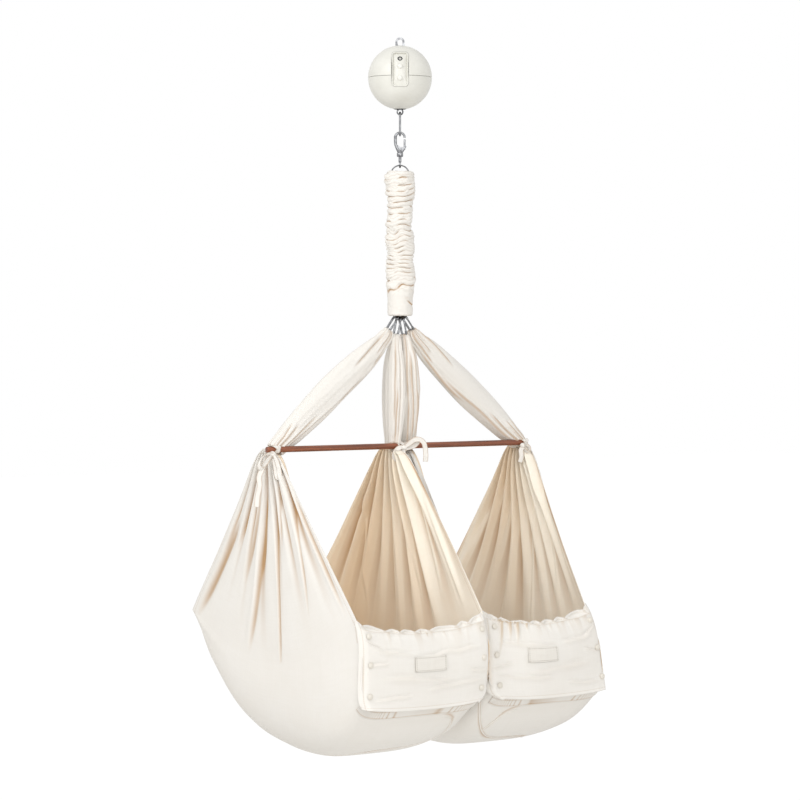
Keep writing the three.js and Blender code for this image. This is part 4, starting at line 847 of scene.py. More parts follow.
sleeveShape = {
    "top": -0.2607, "length": 0.2945, "radius": 0.0264, "cuff": 0.048, "cuffIn": 0.0014, "counts": (140, 340),
    "cloth": (0.165, 0.42), "thickness": 0.001, "pitch": 0.0125, "crumple": 0.0056, "lump": 0.0062, "bulge": 0.0042,
    "mouthIn": 0.005, "footIn": 0.003, "cuffRuck": 0.0012, "fine": 0.0006, "wrinkle": 0.0016,
}


def sleeveGather(v):
    start = 0.6 * sleeveShape["cuff"]
    return smooth((sleeveShape["length"] * (1 - v) - start) / start)


def sleeveAt(u, v):
    shape = sleeveShape
    angle = 2 * pi * u
    height = shape["top"] - shape["length"] * v
    ax, ay = cos(angle), sin(angle)
    held = sleeveGather(v)
    radius = shape["radius"] - shape["cuffIn"] * (1 - held)
    radius += shape["lump"] * held * rippled(ax * 0.8, ay * 0.8, height * 48)
    radius += shape["bulge"] * bump((v - 0.045 - 0.02 * ay) / 0.030) * (0.7 + 0.9 * rippled(ax * 1.4, ay * 1.4, 3.3))
    radius += shape["cuffRuck"] * rippled(ax * 1.2, ay * 1.2, height * 25 + 9) * (1 - held)
    radius -= shape["mouthIn"] * smooth((0.012 - v) / 0.012) + shape["footIn"] * smooth((v - 0.992) / 0.008)
    return Vector((radius * ax, radius * ay, height))


def sleeveRelief(u, v):
    shape = sleeveShape
    angle = 2 * pi * u
    down = shape["length"] * v
    held = sleeveGather(v)
    ax, ay = cos(angle), sin(angle)
    sway = 0.007 * rippled(ax * 0.9, ay * 0.9, down * 18 + 4) + 0.002 * rippled(ax * 2, ay * 2, down * 60 + 2)
    packed = 1 + 0.16 * bump((down - 0.205) / 0.05)
    turn = (down + sway + 0.0035 * ax) / shape["pitch"] * pi * packed
    ridge = abs(sin(turn))
    local = min(max(0.55 + 2.0 * rippled(ax * 1.3 + 3, ay * 1.3, down * 48), 0.04), 1.2)
    second = abs(sin(turn * 1.73 + 2.5 * rippled(ax * 1.7, ay * 1.7, down * 50 + 20)))
    offset = shape["crumple"] * held * (local * (ridge**0.55 - 0.7) + 0.28 * (second**0.6 - 0.6) * (1.2 - local))
    offset += shape["fine"] * rippled(ax * 4, ay * 4, down * 160)
    # The second value returned is painted shade: dark in the valleys between the gathered ridges and along the wrinkle
    # in the cuff.
    dark = smooth((0.42 - ridge) / 0.42) * smooth((local - 0.15) / 0.7)
    wrinkle = bump((down - (shape["length"] - 0.030) - 0.012 * ax) / 0.0022) * smooth(ax * 2 + 0.4) * (1 - held)
    return offset - shape["wrinkle"] * wrinkle, -held * (dark + 0.25 * smooth((0.3 - second) / 0.3)) - wrinkle


sleeveCloth = clothGrid(
    sleeveShape["counts"], sleeveShape["cloth"], sleeveAt, sleeveRelief, wrap=True, flip=True)
sleevePiece = thickened(
    addPiece("springSleeve", sleeveCloth, "cloth", inside="clothInside"), sleeveShape["thickness"], 1)
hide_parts("spring_sleeve")
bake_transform(sleevePiece)
print("sleeve ready")


# Spreader bar

barShape = {"length": 0.662, "radius": 0.006, "height": -0.82, "forward": -0.015, "shift": -0.010, "uneven": 0.012}


def spreaderBar():
    half, radius = barShape["length"] / 2, barShape["radius"]
    start = [(0, -half), (radius - 0.0014, -half), (radius - 0.0004, -half + 0.0004), (radius, -half + 0.0014)]
    middle = [mix(-half + 0.004, half - 0.004, i / 60) for i in range(61)]
    outline = start + [(radius * (1 + barShape["uneven"] * rippled(z * 20, 1.7)), z) for z in middle]
    bm = settle(revolve(bmesh.new(), outline + [(x, -z) for x, z in start[::-1]], 40))
    bmesh.ops.transform(bm, verts=bm.verts, matrix=Matrix.Translation((
        barShape["shift"], barShape["forward"], barShape["height"])) @ Matrix.Rotation(pi / 2, 4, "Y"))
    return bm


carried(addPiece("spreaderBar", spreaderBar(), "wood", 50), "spreader", "spreader_bar")


# Straps: each hammock's cloth, gathered between carabiner and bar

strapShape = {
    "outer": {
        "across": 0.032, "deep": 0.016, "angle": 38, "low": 0.311, "bend": 0.291, "endAcross": 0.014, "swell": 0.62,
        "neck": (0.020, 0.026),
        # Folds: across and along at the start, then at the end, depth and half-width. The front comes first.
        "front": [
            (0.72, 0.04, 0.30, 0.36, 0.0050, 0.0045), (-0.70, 0.30, -0.55, 1.0, 0.0060, 0.0050),
            (-0.25, 0.66, -0.30, 1.02, 0.0050, 0.0042), (0.30, 0.78, 0.10, 1.02, 0.0048, 0.0042),
            (0.05, -0.02, -0.20, 0.20, 0.0040, 0.0034), (-0.45, -0.02, -0.62, 0.26, 0.0040, 0.0036),
            (0.72, 0.80, 0.45, 1.02, 0.0040, 0.0036), (-0.80, 0.10, -0.86, 0.55, 0.0030, 0.0040)],
        "back": [
            (0.6, 0.0, 0.2, 0.5, 0.0050, 0.0050), (-0.4, 0.2, -0.5, 1.0, 0.0050, 0.0050),
            (0.1, 0.6, -0.1, 1.0, 0.0050, 0.0045), (0.0, -0.02, 0.1, 0.25, 0.0040, 0.0040)],
    },
    "inner": {
        "across": 0.0205, "deep": 0.028, "angle": 12.5, "low": 0.0172, "bend": 0.0172, "endAcross": 0.013, "swell": 0.8,
        "neck": (0.003, 0.030),
        "front": [
            (0.62, 0.02, 0.70, 0.80, 0.0045, 0.0030), (0.15, -0.02, 0.30, 1.02, 0.0055, 0.0034),
            (-0.25, 0.10, -0.12, 1.02, 0.0055, 0.0032), (-0.62, -0.02, -0.55, 0.66, 0.0050, 0.0030),
            (-0.50, 0.55, -0.60, 1.02, 0.0045, 0.0030), (0.45, 0.45, 0.62, 1.02, 0.0045, 0.0030)],
        "back": [
            (0.5, 0.0, 0.6, 1.0, 0.0045, 0.0032), (0.0, 0.0, 0.1, 1.0, 0.0050, 0.0036),
            (-0.5, 0.1, -0.6, 1.0, 0.0050, 0.0034)],
    },
    "tip": 0.0058, "endDeep": 0.017, "straight": 0.030, "foot": -0.8215, "cover": 0.002, "reach": 0.0512,
    "counts": (200, 150), "cloth": (0.3, 0.42), "thickness": 0.001, "gathers": 11, "gather": 0.0016, "fine": 0.0008,
}


def strapPath(side, kind):
    shape = strapShape[kind]
    angle = side * radians(shape["angle"])
    away = Vector((sin(angle), 0, -cos(angle)))
    start = Vector((0, 0, ringShape["bottom"]["height"])) + away * (strapShape["reach"] - strapShape["cover"])
    neck = start + Vector((side * shape["neck"][0], 0, -shape["neck"][1]))
    low = Vector((side * shape["low"], 0, strapShape["foot"]))
    bend = Vector((side * shape["bend"], 0, strapShape["foot"] + 0.6 * strapShape["straight"]))
    return [start, neck, neck.lerp(bend, 0.5), bend, low]


def lineFold(lines, across, along, reach):
    offset, paintedShade = 0.0, 0.0
    for c0, v0, c1, v1, depth, width in lines:
        share = (along - v0) / (v1 - v0)
        held = smooth(share * 4) * smooth((1 - share) * 4) if 0 < share < 1 else 0
        if held <= 0:
            continue
        x = (across - mix(c0, c1, share)) * reach / width
        if abs(x) < 3.5:
            offset += depth * held * (0.9 * x * bump(x) - 0.62 * bump(x * 1.5))
            # Painted shade in the fold's valley.
            paintedShade -= 0.62 * held * bump((x + 0.15) * 2.5)
    return offset, paintedShade


def strapPiece(side, kind):
    shape = strapShape[kind]
    path = strapPath(side, kind)
    chord = [0]
    for first, second in zip(path, path[1:]):
        chord.append(chord[-1] + (second - first).length)
    knots = [place / chord[-1] for place in chord]
    seed = (3 if kind == "outer" else 11) + (20 if side > 0 else 0)

    def centreAt(share):
        k = 0
        while k < len(path) - 2 and share > knots[k + 1]:
            k += 1
        return splinePoint(path, (k + (share - knots[k]) / (knots[k + 1] - knots[k])) / (len(path) - 1))

    def sectionAt(v):
        swell = max(sin(pi * v), 0) ** shape["swell"]
        across = mix(mix(strapShape["tip"], shape["endAcross"], v), shape["across"], swell)
        return across, mix(mix(strapShape["tip"], strapShape["endDeep"], v), shape["deep"], swell)

    def pointAt(u, v):
        tangent = (centreAt(min(v + 0.01, 1)) - centreAt(max(v - 0.01, 0))).normalized()
        sideways = Vector((tangent.z, 0, -tangent.x)) * -side
        across, deep = sectionAt(v)
        angle = 2 * pi * u
        bulge = 1 + 0.10 * rippled(cos(angle) * 1.1 + seed, sin(angle) * 1.1, v * 3)
        if kind == "inner":
            bulge += 0.10 * rippled(cos(angle) * 2.6 + seed, sin(angle) * 2.6, v * 1.2)
        return centreAt(v) + sideways * (across * bulge * cos(angle)) + Vector((0, deep * bulge * sin(angle), 0))

    def reliefAt(u, v):
        angle = 2 * pi * u
        wander = cos(angle) + 0.10 * rippled(seed, v * 4.0, 2.0)
        facing = min(abs(sin(angle)) * 3, 1)
        offset, paintedShade = lineFold(shape["front" if sin(angle) < 0 else "back"], wander, v, sectionAt(v)[0])
        ends = max(exp(-v / 0.07), exp(-(1 - v) / 0.05))
        gather = sin(strapShape["gathers"] * angle + 2 * rippled(cos(angle) * 2 + seed, sin(angle) * 2, 5.0))
        fine = rippled(cos(angle) * 4 + seed, sin(angle) * 4, v * 4)
        offset = offset * facing + strapShape["gather"] * ends * gather + strapShape["fine"] * fine
        # The second value is painted shade: the folds' valleys, and the gathers' valleys near both ends.
        return offset, paintedShade * facing - 0.5 * ends * smooth(-gather)

    bm = clothGrid(strapShape["counts"], strapShape["cloth"], pointAt, reliefAt, wrap=True)
    bmesh.ops.recalc_face_normals(bm, faces=bm.faces)
    word = sideWord(side)
    piece = addPiece(word + kind.capitalize() + "Strap", bm, "cloth", inside="clothInside")
    thickened(piece, strapShape["thickness"], 1)
    return carried(piece, "spreader", word + "_" + kind + "_strap")


for word, side in sides.items():
    for kind in ("outer", "inner"):
        strapPiece(side, kind)
print("straps ready")


# Hammocks: one cloth each, from the outer tie down, round the bowl and up to the inner tie

cotShape = {
    "height": -0.82, "outerTie": 0.320, "innerTie": 0.019, "seam": 0.425, "seamBack": 0.018, "innerSeam": 0.0075,
    "frontTop": 40.5, "frontLow": 31.5, "back": 40.5, "belly": 0.005,
    "depths": [0.572, 0.606, 0.615, 0.610, 0.592, 0.540, 0.462],
    # How square the bowl's section is in the middle, at the front and at the back.
    "outerPowers": (8.5, 2.7, 2.6), "innerPowers": (8, 3.9, 3.2),
    "frontTuck": {"left": (0.010, 0.006), "right": (0.060, 0.0)}, "backTuck": (0.004, 0.030),
    "outerFlare": {"left": 0.0, "right": 0.048}, "lowerCorner": {"left": 0.010, "right": 0.004},
    "edgeBow": {"left": 0.007, "right": -0.004}, "frontLean": {"left": 0.014, "right": -0.016},
    "tieFront": 0.017, "tieLead": {"left": 0.013, "right": -0.010}, "tieBack": 0.025, "tieFlare": 0.012,
    "flareReach": 0.012, "tieDrop": 0.0085, "wallShare": 0.3, "counts": (200, 240), "thickness": 0.0012,
    "cloth": (0.60, 1.36), "seed": {"left": 2, "right": 17},
    "sway": 0.0024, "crumple": 0.0007, "runOut": 0.0012, "backFolds": 0.0016, "seamSink": 0.0012,
}


def inFan(x, angle, distance):
    return Vector((x, distance * sin(angle), cotShape["height"] - distance * cos(angle)))


def clothPlace(t):
    # A place across the cloth is on a wall, so far down from its tie, or on the bowl, so far across it.
    share = cotShape["wallShare"]
    if t < share:
        return "outer", t / share
    if t > 1 - share:
        return "inner", (1 - t) / share
    return "bowl", (t - share) / (1 - 2 * share)


def bowlEdges(side, place):
    shape = cotShape
    front, back = max(-place, 0) ** 3, max(place, 0) ** 3
    outTuck, inTuck = shape["frontTuck"][sideWord(side)]
    return (shape["outerTie"] - outTuck * front - shape["backTuck"][0] * back,
            shape["innerSeam"] + inTuck * front + shape["backTuck"][1] * back)


def seamDepth(place):
    return cotShape["seam"] + cotShape["seamBack"] * max(place, 0) ** 2


def bowlDepth(angle):
    low, high = radians(-cotShape["frontLow"]), radians(cotShape["back"])
    return splineAt(cotShape["depths"], (angle - low) / (high - low))


def bowlPower(place, kind):
    front, middle, back = cotShape[kind + "Powers"]
    return mix(middle, front, place**2) if place < 0 else mix(middle, back, place)


def cotAt(side, s, t):
    shape, word = cotShape, sideWord(side)
    place = 2 * s - 1
    front = max(-place, 0) ** 2
    lean = -shape["frontLean"][word] / shape["seam"] * front
    outer, inner = bowlEdges(side, place)
    kind, b = clothPlace(t)
    if kind == "bowl":
        across = cos(pi * b)
        power = 2 / bowlPower(place, "outer" if across > 0 else "inner")
        deep = max(sin(pi * b), 0) ** power
        start = radians(mix(shape["frontTop"], shape["frontLow"], smooth(deep)))
        angle = mix(-start, radians(shape["back"]), s) + lean * smooth((b - 0.5) * 2) * (1 - smooth(deep * 0.9))
        outer += shape["outerFlare"][word] * front * deep
        inner -= shape["lowerCorner"][word] * front * smooth(deep * 1.6)
        x = (outer + inner) / 2 + (outer - inner) / 2 * (1 if across > 0 else -1) * abs(across) ** power
        return inFan(side * x, angle, mix(seamDepth(place), bowlDepth(angle), deep))
    angle = mix(radians(-shape["frontTop"]), radians(shape["back"]), s)
    flared = shape["tieFlare"] * place * (1 - exp(-b * shape["seam"] / shape["flareReach"])) * (1 - b)
    drop = shape["tieDrop"] * (1 - smooth((s - 0.30) / 0.25))
    bow = sin(pi * b)
    if kind == "outer":
        head = Vector((side * shape["outerTie"], mix(-shape["tieFront"], shape["tieBack"], s) + flared,
                       shape["height"] - drop))
        point = head.lerp(inFan(side * outer, angle, seamDepth(place)), b)
        point.x += side * shape["belly"] * bow * (1 - place**2)
        return point
    head = Vector((side * shape["innerTie"], mix(
        -shape["tieFront"] - shape["tieLead"][word], shape["tieBack"], s) + flared, shape["height"] - drop))
    point = head.lerp(inFan(side * inner, angle + lean, seamDepth(place)), b)
    point.y -= shape["edgeBow"][word] * bow * front
    return point


# Long folds of the walls: fan angle and distance at the start and the end, depth, half-width
wallFolds = {
    "outer": [
        (33, 0.17, 38, 0.43, 0.0060, 0.013), (10, 0.03, 17, 0.27, 0.0050, 0.011),
        (6, 0.18, 11, 0.41, 0.0042, 0.011), (-10, 0.04, -3, 0.50, 0.0034, 0.0045),
        (-34, 0.03, -22, 0.34, 0.0032, 0.0050), (-37, 0.10, -37.5, 0.38, 0.0040, 0.0055),
        (24, 0.03, 27, 0.22, 0.0035, 0.008), (-20, 0.03, -12, 0.20, 0.0030, 0.0055),
        (0, 0.02, 3, 0.20, 0.0030, 0.006)],
    "inner": [
        (36, 0.04, 15, 0.36, 0.0045, 0.006), (5.5, 0.04, 0, 0.34, 0.0040, 0.005),
        (-12, 0.03, -15, 0.32, 0.0045, 0.006), (-30, 0.04, -26, 0.32, 0.0038, 0.006),
        (22, 0.03, 20, 0.30, 0.0035, 0.006), (-37, 0.08, -34, 0.38, 0.0040, 0.006),
        (-22, 0.03, -20, 0.36, 0.0035, 0.005)],
}
# Pleats below the ties: how many, how fast they fade, how high
pleats = {
    "outer": {"left": (7, 2.3, 0.0135), "right": (8, 1.1, 0.0145)},
    "inner": {"left": (8, 0.95, 0.0150), "right": (8, 1.5, 0.0125)},
}


def wallRelief(kind, side, s, b, seed):
    shape = cotShape
    count, decay, height = pleats[kind][sideWord(side)]
    distance = shape["seam"] * b
    angle = radians(mix(-shape["frontTop"], shape["back"], s))
    wander = s + 0.055 * rippled(s * 3.5 + seed, b * 0.8) + 0.020 * rippled(s * 11 + seed, b * 1.4)
    turn = 2 * pi * count * wander
    lasting = clamp(0.55 + 1.1 * rippled(s * count * 0.62 + seed, 7.7))
    fade = max(1 - b, 0) ** (decay * mix(1.5, 0.75, lasting)) * mix(0.8, 1, smooth(b * 10))
    wave = (sin(turn) + 0.30 * sin(2 * turn + 1.2)) / 1.15
    edge = smooth(s * 14) * smooth((1 - s) * 14)
    offset = height * fade * wave * mix(0.35, 1, edge)
    # Painted shade: the pleats' valleys are darkened, on the outside where the value is below zero and on the inside
    # where it is above.
    paintedShade = fade * (1.9 * wave * abs(wave) - 0.05)
    for angle0, start, angle1, end, depth, width in wallFolds[kind]:
        share = (distance - start) / (end - start)
        held = smooth(share * 3 + 0.4) * smooth((1 - share) * 2.5 + 0.2)
        x = (angle - radians(mix(angle0, angle1, clamp(share)))) * (distance + 0.05) / width
        if held > 0 and abs(x) <= 4:
            offset += depth * held * (x * 1.5 * bump(x) - 0.5 * bump(x * 1.4))
            # Painted shade in the long fold's valley.
            paintedShade -= 0.72 * held * bump((x + 0.3) * 1.7)
    return offset, paintedShade


# Sewn lines of a bowl's front: places across (a) and front to back (s), half-width, strength
pipingRoute = [(0.985, 0.012), (0.90, 0.045), (0.78, 0.095), (0.64, 0.155), (0.50, 0.235), (0.40, 0.34)]
sewnLines = [
    (pipingRoute, 0.0034, 0.85),
    ([(0.50, 0.000), (0.505, 0.045), (0.56, 0.075), (0.60, 0.125), (0.62, 0.165)], 0.0026, 0.5),
    ([(0.93, 0.002), (0.90, 0.034)], 0.0030, 0.9), ([(0.955, 0.000), (0.93, 0.030)], 0.0030, 0.9),
    ([(0.905, 0.004), (0.87, 0.044)], 0.0030, 0.8),
]
bowlSpan = (0.46, 0.78)


def seamMark(a, s):
    if s > 0.37:
        return 0.0
    place, mark = Vector((a * bowlSpan[0], s * bowlSpan[1])), 0.0
    for route, width, strength in sewnLines:
        knots = [Vector((across * bowlSpan[0], along * bowlSpan[1])) for across, along in route]
        for start, end in zip(knots, knots[1:]):
            share = clamp((place - start).dot(end - start) / (end - start).length_squared)
            mark = max(mark, strength * bump((place - start.lerp(end, share)).length / width))
    return mark


def cotRelief(side, s, t, seed):
    shape = cotShape
    offset = shape["sway"] * rippled(s * 3 + seed, t * 5, 3) + shape["crumple"] * rippled(s * 12 + seed, t * 15, 9)
    kind, b = clothPlace(t)
    if kind != "bowl":
        more, paintedShade = wallRelief(kind, side, s, b, seed + (0 if kind == "outer" else 5))
        held = 1 - smooth((b - 0.88) / 0.24)
        return offset + more * held, paintedShade * held
    near = max(1 - min(b, 1 - b) / 0.16, 0) ** 2  # the walls' folds run out over the seam
    back = smooth((s - 0.72) / 0.2) * smooth((0.99 - s) / 0.05)
    mark = seamMark(b, s)
    offset += shape["runOut"] * near * rippled(s * 16 + seed, 4.0)
    offset += shape["backFolds"] * back * rippled(s * 4 + seed, b * 26)
    # The sewn lines sink into the cloth and get painted shade along them.
    return offset - shape["seamSink"] * mark, -mark


def cotShade(side, s, t):
    # Painted shade and painted warm bounce light on the inside, in uneven bands: how warm and dim the inside's colour
    # is made. The camera sees into the right-hand wall of each hammock; that wall's painted shade grows towards the
    # back, the other wall gets a middle amount and the bowl a fixed, stronger amount.
    kind, b = clothPlace(t)
    if kind == "bowl":
        return 0.8
    bands = 0.22 * rippled(s * 9 + 3 * side, 1.5) + 0.10 * rippled(s * 22, 5.5)
    if kind == ("inner" if side < 0 else "outer"):
        most = mix(0.56, 0.74, b) if side < 0 else mix(0.62, 0.10, b)
        return clamp(most * smooth((s + 0.02) / 0.86) + 0.8 * bands * smooth(s * 4))
    return clamp(0.50 + bands)


def hammockPiece(word, side):
    seed = cotShape["seed"][word]
    bm = clothGrid(
        cotShape["counts"], cotShape["cloth"], lambda s, t: cotAt(side, s, t),
        lambda s, t: cotRelief(side, s, t, seed), flip=side > 0, shadeAt=lambda s, t: cotShade(side, s, t))
    piece = addPiece(word + "Hammock", bm, "hammock", inside="hammockInside")
    thickened(piece, cotShape["thickness"], 1)
    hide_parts(word + "_outer_wall", word + "_inner_wall", word + "_bowl")
    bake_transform(piece)
    return piece


hammocks = {word: hammockPiece(word, side) for word, side in sides.items()}
print("hammocks ready")


# Mattresses

mattressShape = {
    "thickness": 0.034, "edge": 0.3, "width": 0.65, "taper": 0.12, "front": -22, "back": 24, "seat": 0.0052,
    "gap": 0.0015, "counts": (60, 90), "cloth": (0.19, 0.48),
}


def mattressPiece(word, side):
    shape = mattressShape

    def pointAt(a, b, upper):
        angle = radians(mix(shape["front"], shape["back"], b))
        low, high = radians(-cotShape["frontLow"]), radians(cotShape["back"])
        place = 2 * (angle - low) / (high - low) - 1
        power = bowlPower(place, "outer")
        across = shape["width"] * (2 * a - 1) * (1 - shape["taper"] * abs(2 * b - 1) ** 3)
        share = (1 - abs(across) ** power) ** (1 / power)
        outer, inner = bowlEdges(side, place)
        distance = mix(cotShape["seam"], bowlDepth(angle), share) - shape["gap"] - shape["seat"]
        body = sqrt(max((1 - abs(2 * a - 1) ** 4) * (1 - abs(2 * b - 1) ** 4), 0))
        distance -= shape["thickness"] * shape["edge"] / 2 * (1 - body)
        if upper:
            quilt = (abs(sin(3 * pi * a)) * abs(sin(5 * pi * b))) ** 0.35
            distance -= shape["thickness"] * mix(0.12, 1, body**0.7) * mix(0.78, 1, quilt)
        return inFan(side * ((outer + inner) / 2 + (outer - inner) / 2 * across), angle, distance)

    bm = clothGrid(shape["counts"], shape["cloth"], lambda a, b: pointAt(a, b, True), flip=side < 0)
    joinMesh(bm, clothGrid(shape["counts"], shape["cloth"], lambda a, b: pointAt(a, b, False), flip=side > 0))
    bmesh.ops.bridge_loops(bm, edges=[edge for edge in bm.edges if edge.is_boundary])
    bmesh.ops.recalc_face_normals(bm, faces=bm.faces)
    piece = carried(addPiece(word + "Mattress", bm, "mattress"), word + "_hammock", word + "_mattress")


for word, side in sides.items():
    mattressPiece(word, side)
print("mattresses ready")


# Front flaps with their ruffled casing, snaps and bare labels

flapShape = {
    "dip": 0.026, "bulge": 0.013, "rise": 0.006, "stand": 0.00216, "low": 0.009, "casing": 0.115, "footIn": 0.003,
    "outer": {"left": (0.312, 0.3155), "right": (0.3105, 0.2660)},
    "inner": {"left": (0.002, 0.0135), "right": (0.0, 0.0075)}, "lean": {"left": 0.013, "right": -0.015},
    "wrap": (0.050, 0.016), "lumps": (7.3, 0.0095), "corner": {"left": (0.004, 0.024), "right": (0.009, 0.020)},
    "counts": (190, 120), "thickness": 0.0022, "cloth": (0.28, 0.19), "seed": {"left": 5, "right": 23},
    "snapAcross": {"Outer": (0.050, 0.062), "Inner": (0.915, 0.945)}, "snapLevels": (0.17, 0.49, 0.81),
    "snapRadius": 0.0062, "snapStand": 0.003, "label": (0.066, 0.030), "labelThickness": 0.0009, "labelStand": 0.004,
    "labelAcross": {"left": (0.385, 0.63), "right": (0.45, 0.70)}, "labelUp": (0.41, 0.575), "labelCounts": (60, 30),
    "labelWave": 0.0004, "stuffing": (0.0022, 0.0088), "seamSink": 0.0022, "gather": 0.0020, "wave": 0.0016,
    "turnUnder": 0.0045, "wrinkleScale": 2.2,
    # Pleats below the casing: across, depth, half-width, reach down
    "pleats": {"left": [(0.52, 0.0024, 0.010, 0.10)], "right": [
        (0.80, 0.0045, 0.016, 0.30), (0.74, 0.0045, 0.014, 0.34), (0.66, 0.0024, 0.012, 0.12),
        (0.87, 0.0035, 0.016, 0.5)]},
    # Wrinkles: height and across at the start and the end, depth, half-width
    "wrinkles": [
        (0.66, 0.05, 0.60, 0.42, 0.0014, 0.030), (0.56, 0.40, 0.64, 0.95, 0.0012, 0.028),
        (0.36, 0.10, 0.30, 0.75, 0.0014, 0.035), (0.22, 0.45, 0.28, 0.97, 0.0012, 0.026),
        (0.74, 0.03, 0.66, 0.16, 0.0014, 0.016), (0.46, 0.03, 0.52, 0.20, 0.0012, 0.018),
        (0.12, 0.06, 0.17, 0.40, 0.0012, 0.022), (0.40, 0.80, 0.34, 0.97, 0.0012, 0.018)],
}


def rimPoint(share):
    shape = cotShape
    angle = -radians(mix(shape["frontTop"], shape["frontLow"], smooth(share)))
    return inFan(0, angle, mix(shape["seam"], shape["depths"][0], share))


def flapPuff(side, a):
    return abs(sin(pi * (flapShape["lumps"][0] * a + 0.6 * rippled(a * 6 + 7 * side, 2.2) + 0.5))) ** 0.7


def flapAt(side, a, h, offset=0.0):
    shape, word = flapShape, sideWord(side)
    outer, inner = mix(*shape["outer"][word], h), mix(*shape["inner"][word], h)
    rounding = max(1 - h / 0.16, 0) ** 2.5
    outer -= shape["corner"][word][0] * rounding
    inner += shape["corner"][word][1] * rounding
    arch = max(sin(pi * a), 0)
    rim = rimPoint(1 - h)
    y = rim.y - shape["stand"] - shape["bulge"] * arch**0.7 * sin(pi * h**0.7)
    y += shape["wrap"][1] * max(1 - min(a, 1 - a) / shape["wrap"][0], 0) ** 2 * mix(1, 0.55, h)
    y -= shape["lean"][word] * smooth((a - 0.55) / 0.45) * mix(0.15, 1, smooth(h / 0.5))
    y += shape["footIn"] * arch * (1 - smooth(h / 0.10))
    z = rim.z + shape["rise"] * h - shape["dip"] * arch**0.7 * h**2 - shape["low"] * arch**0.35 * (1 - h) ** 3
    z += shape["lumps"][1] * (flapPuff(side, a) - 0.6) * smooth((h - 0.9) / 0.1) * smooth(a * 16) * smooth((1 - a) * 16)
    return Vector((side * mix(outer, inner, a), y - offset, z))


def flapRelief(side, a, h):
    shape = flapShape
    down, seed = 1 - h, shape["seed"][sideWord(side)]
    held = smooth(a * 16) * smooth((1 - a) * 16)
    puff = flapPuff(side, a)
    seamAt = shape["casing"] * (1 + 0.18 * rippled(a * 5 + seed, 8.8))
    inCasing = 1 - smooth((down - seamAt + 0.012) / 0.024)
    rounded = max(sin(pi * mix(0.12, 1, clamp(down / seamAt))), 0) ** 0.6
    offset = held * inCasing * rounded * (shape["stuffing"][0] + shape["stuffing"][1] * puff)
    # Painted shade follows the shape: between the casing's puffs, along its sewn seam, and in the gathers, pleats and
    # wrinkles below.
    paintedShade = -held * inCasing * 0.40 * smooth((0.40 - puff) / 0.40)
    offset -= shape["seamSink"] * held * bump((down - seamAt) / 0.016)
    paintedShade -= 0.32 * held * bump((down - seamAt) / 0.008)
    below = exp(-max(down - seamAt, 0) / 0.10) * (1 - inCasing)
    gather = rippled(a * 24 + seed, down * 2) + 0.5 * rippled(a * 48 + seed, down * 3)
    offset += shape["gather"] * held * below * gather
    paintedShade -= 0.35 * held * below * smooth(-gather * 1.6)
    for middle, depth, width, reach in shape["pleats"][sideWord(side)]:
        x = (a - middle - 0.10 * (down - 0.1)) / width
        deep = smooth(down / 0.06) * (1 - smooth((down - 0.1) / reach))
        offset += depth * deep * (1.4 * x * bump(x) - 0.5 * bump(x * 1.6))
        paintedShade -= 0.9 * deep * bump((x + 0.2) * 2.2)
    for h0, a0, h1, a1, depth, width in shape["wrinkles"]:
        share = (a - a0) / (a1 - a0)
        strong = smooth(share * 4) * smooth((1 - share) * 4) * (1 - inCasing)
        x = (h - mix(h0, h1, share) - 0.03 * rippled(a * 7 + seed, h0 * 9)) / width
        offset += shape["wrinkleScale"] * depth * strong * (1.5 * x * bump(x) - 0.4 * bump(x * 1.5))
        paintedShade -= 0.10 * strong * bump((x + 0.2) * 1.5)
    offset += shape["wave"] * rippled(a * 4 + seed, h * 5) * smooth(h * 5) * held
    offset -= shape["turnUnder"] * max(1 - h / 0.09, 0) ** 2 * held
    return offset, paintedShade


def flapPiece(word, side):
    bm = clothGrid(
        flapShape["counts"], flapShape["cloth"], lambda a, h: flapAt(side, a, h), lambda a, h: flapRelief(side, a, h),
        flip=side < 0)
    piece = thickened(addPiece(word + "Flap", bm, "flap"), flapShape["thickness"])
    return carried(piece, word + "_flap", word + "_front_flap")


def snapPiece(word, side, kind):
    shape = flapShape
    radius = shape["snapRadius"]
    outline = [(0, -0.0012), (radius * 0.9, -0.0012), (radius, 0.0002), (radius * 0.97, 0.0010),
               (radius * 0.86, 0.0014), (radius * 0.78, 0.0011), (radius * 0.70, 0.0013), (radius * 0.60, 0.0021),
               (radius * 0.35, 0.0026), (0, 0.0027)]
    bm = bmesh.new()
    for level in shape["snapLevels"]:
        a = mix(*shape["snapAcross"][kind], level)
        cap = revolve(bmesh.new(), outline, 32)
        upright = flapAt(side, a, level + 0.02) - flapAt(side, a, level - 0.02)
        place = Matrix.Translation(flapAt(side, a, level, shape["snapStand"]))
        tilt = Matrix.Rotation(radians(90) - asin(upright.normalized().y * 0.8), 4, "X")
        bmesh.ops.transform(cap, matrix=place @ tilt, verts=cap.verts)
        joinMesh(bm, cap)
    piece = addPiece(word + kind + "Snaps", settle(bm), "snap", 50)
    carried(piece, word + "_flap", word + "_" + kind.lower() + "_snaps")


def labelPiece(word, side):
    shape = flapShape

    def pointAt(u, v):
        across = mix(*shape["labelAcross"][word], 1 - u if side < 0 else u)
        return flapAt(side, across, mix(*shape["labelUp"], v), shape["labelStand"])

    def reliefAt(u, v):
        return shape["labelWave"] * rippled(u * 3, v * 3, side), 0.0

    bm = clothGrid(shape["labelCounts"], shape["label"], pointAt, reliefAt, flip=side > 0)
    bmesh.ops.recalc_face_normals(bm, faces=bm.faces)
    piece = thickened(addPiece(word + "Label", bm, "label"), shape["labelThickness"])
    return carried(piece, word + "_flap", word + "_label")


flaps = {word: flapPiece(word, side) for word, side in sides.items()}
for word, side in sides.items():
    for kind in ("Outer", "Inner"):
        snapPiece(word, side, kind)
    labelPiece(word, side)
print("flaps ready")


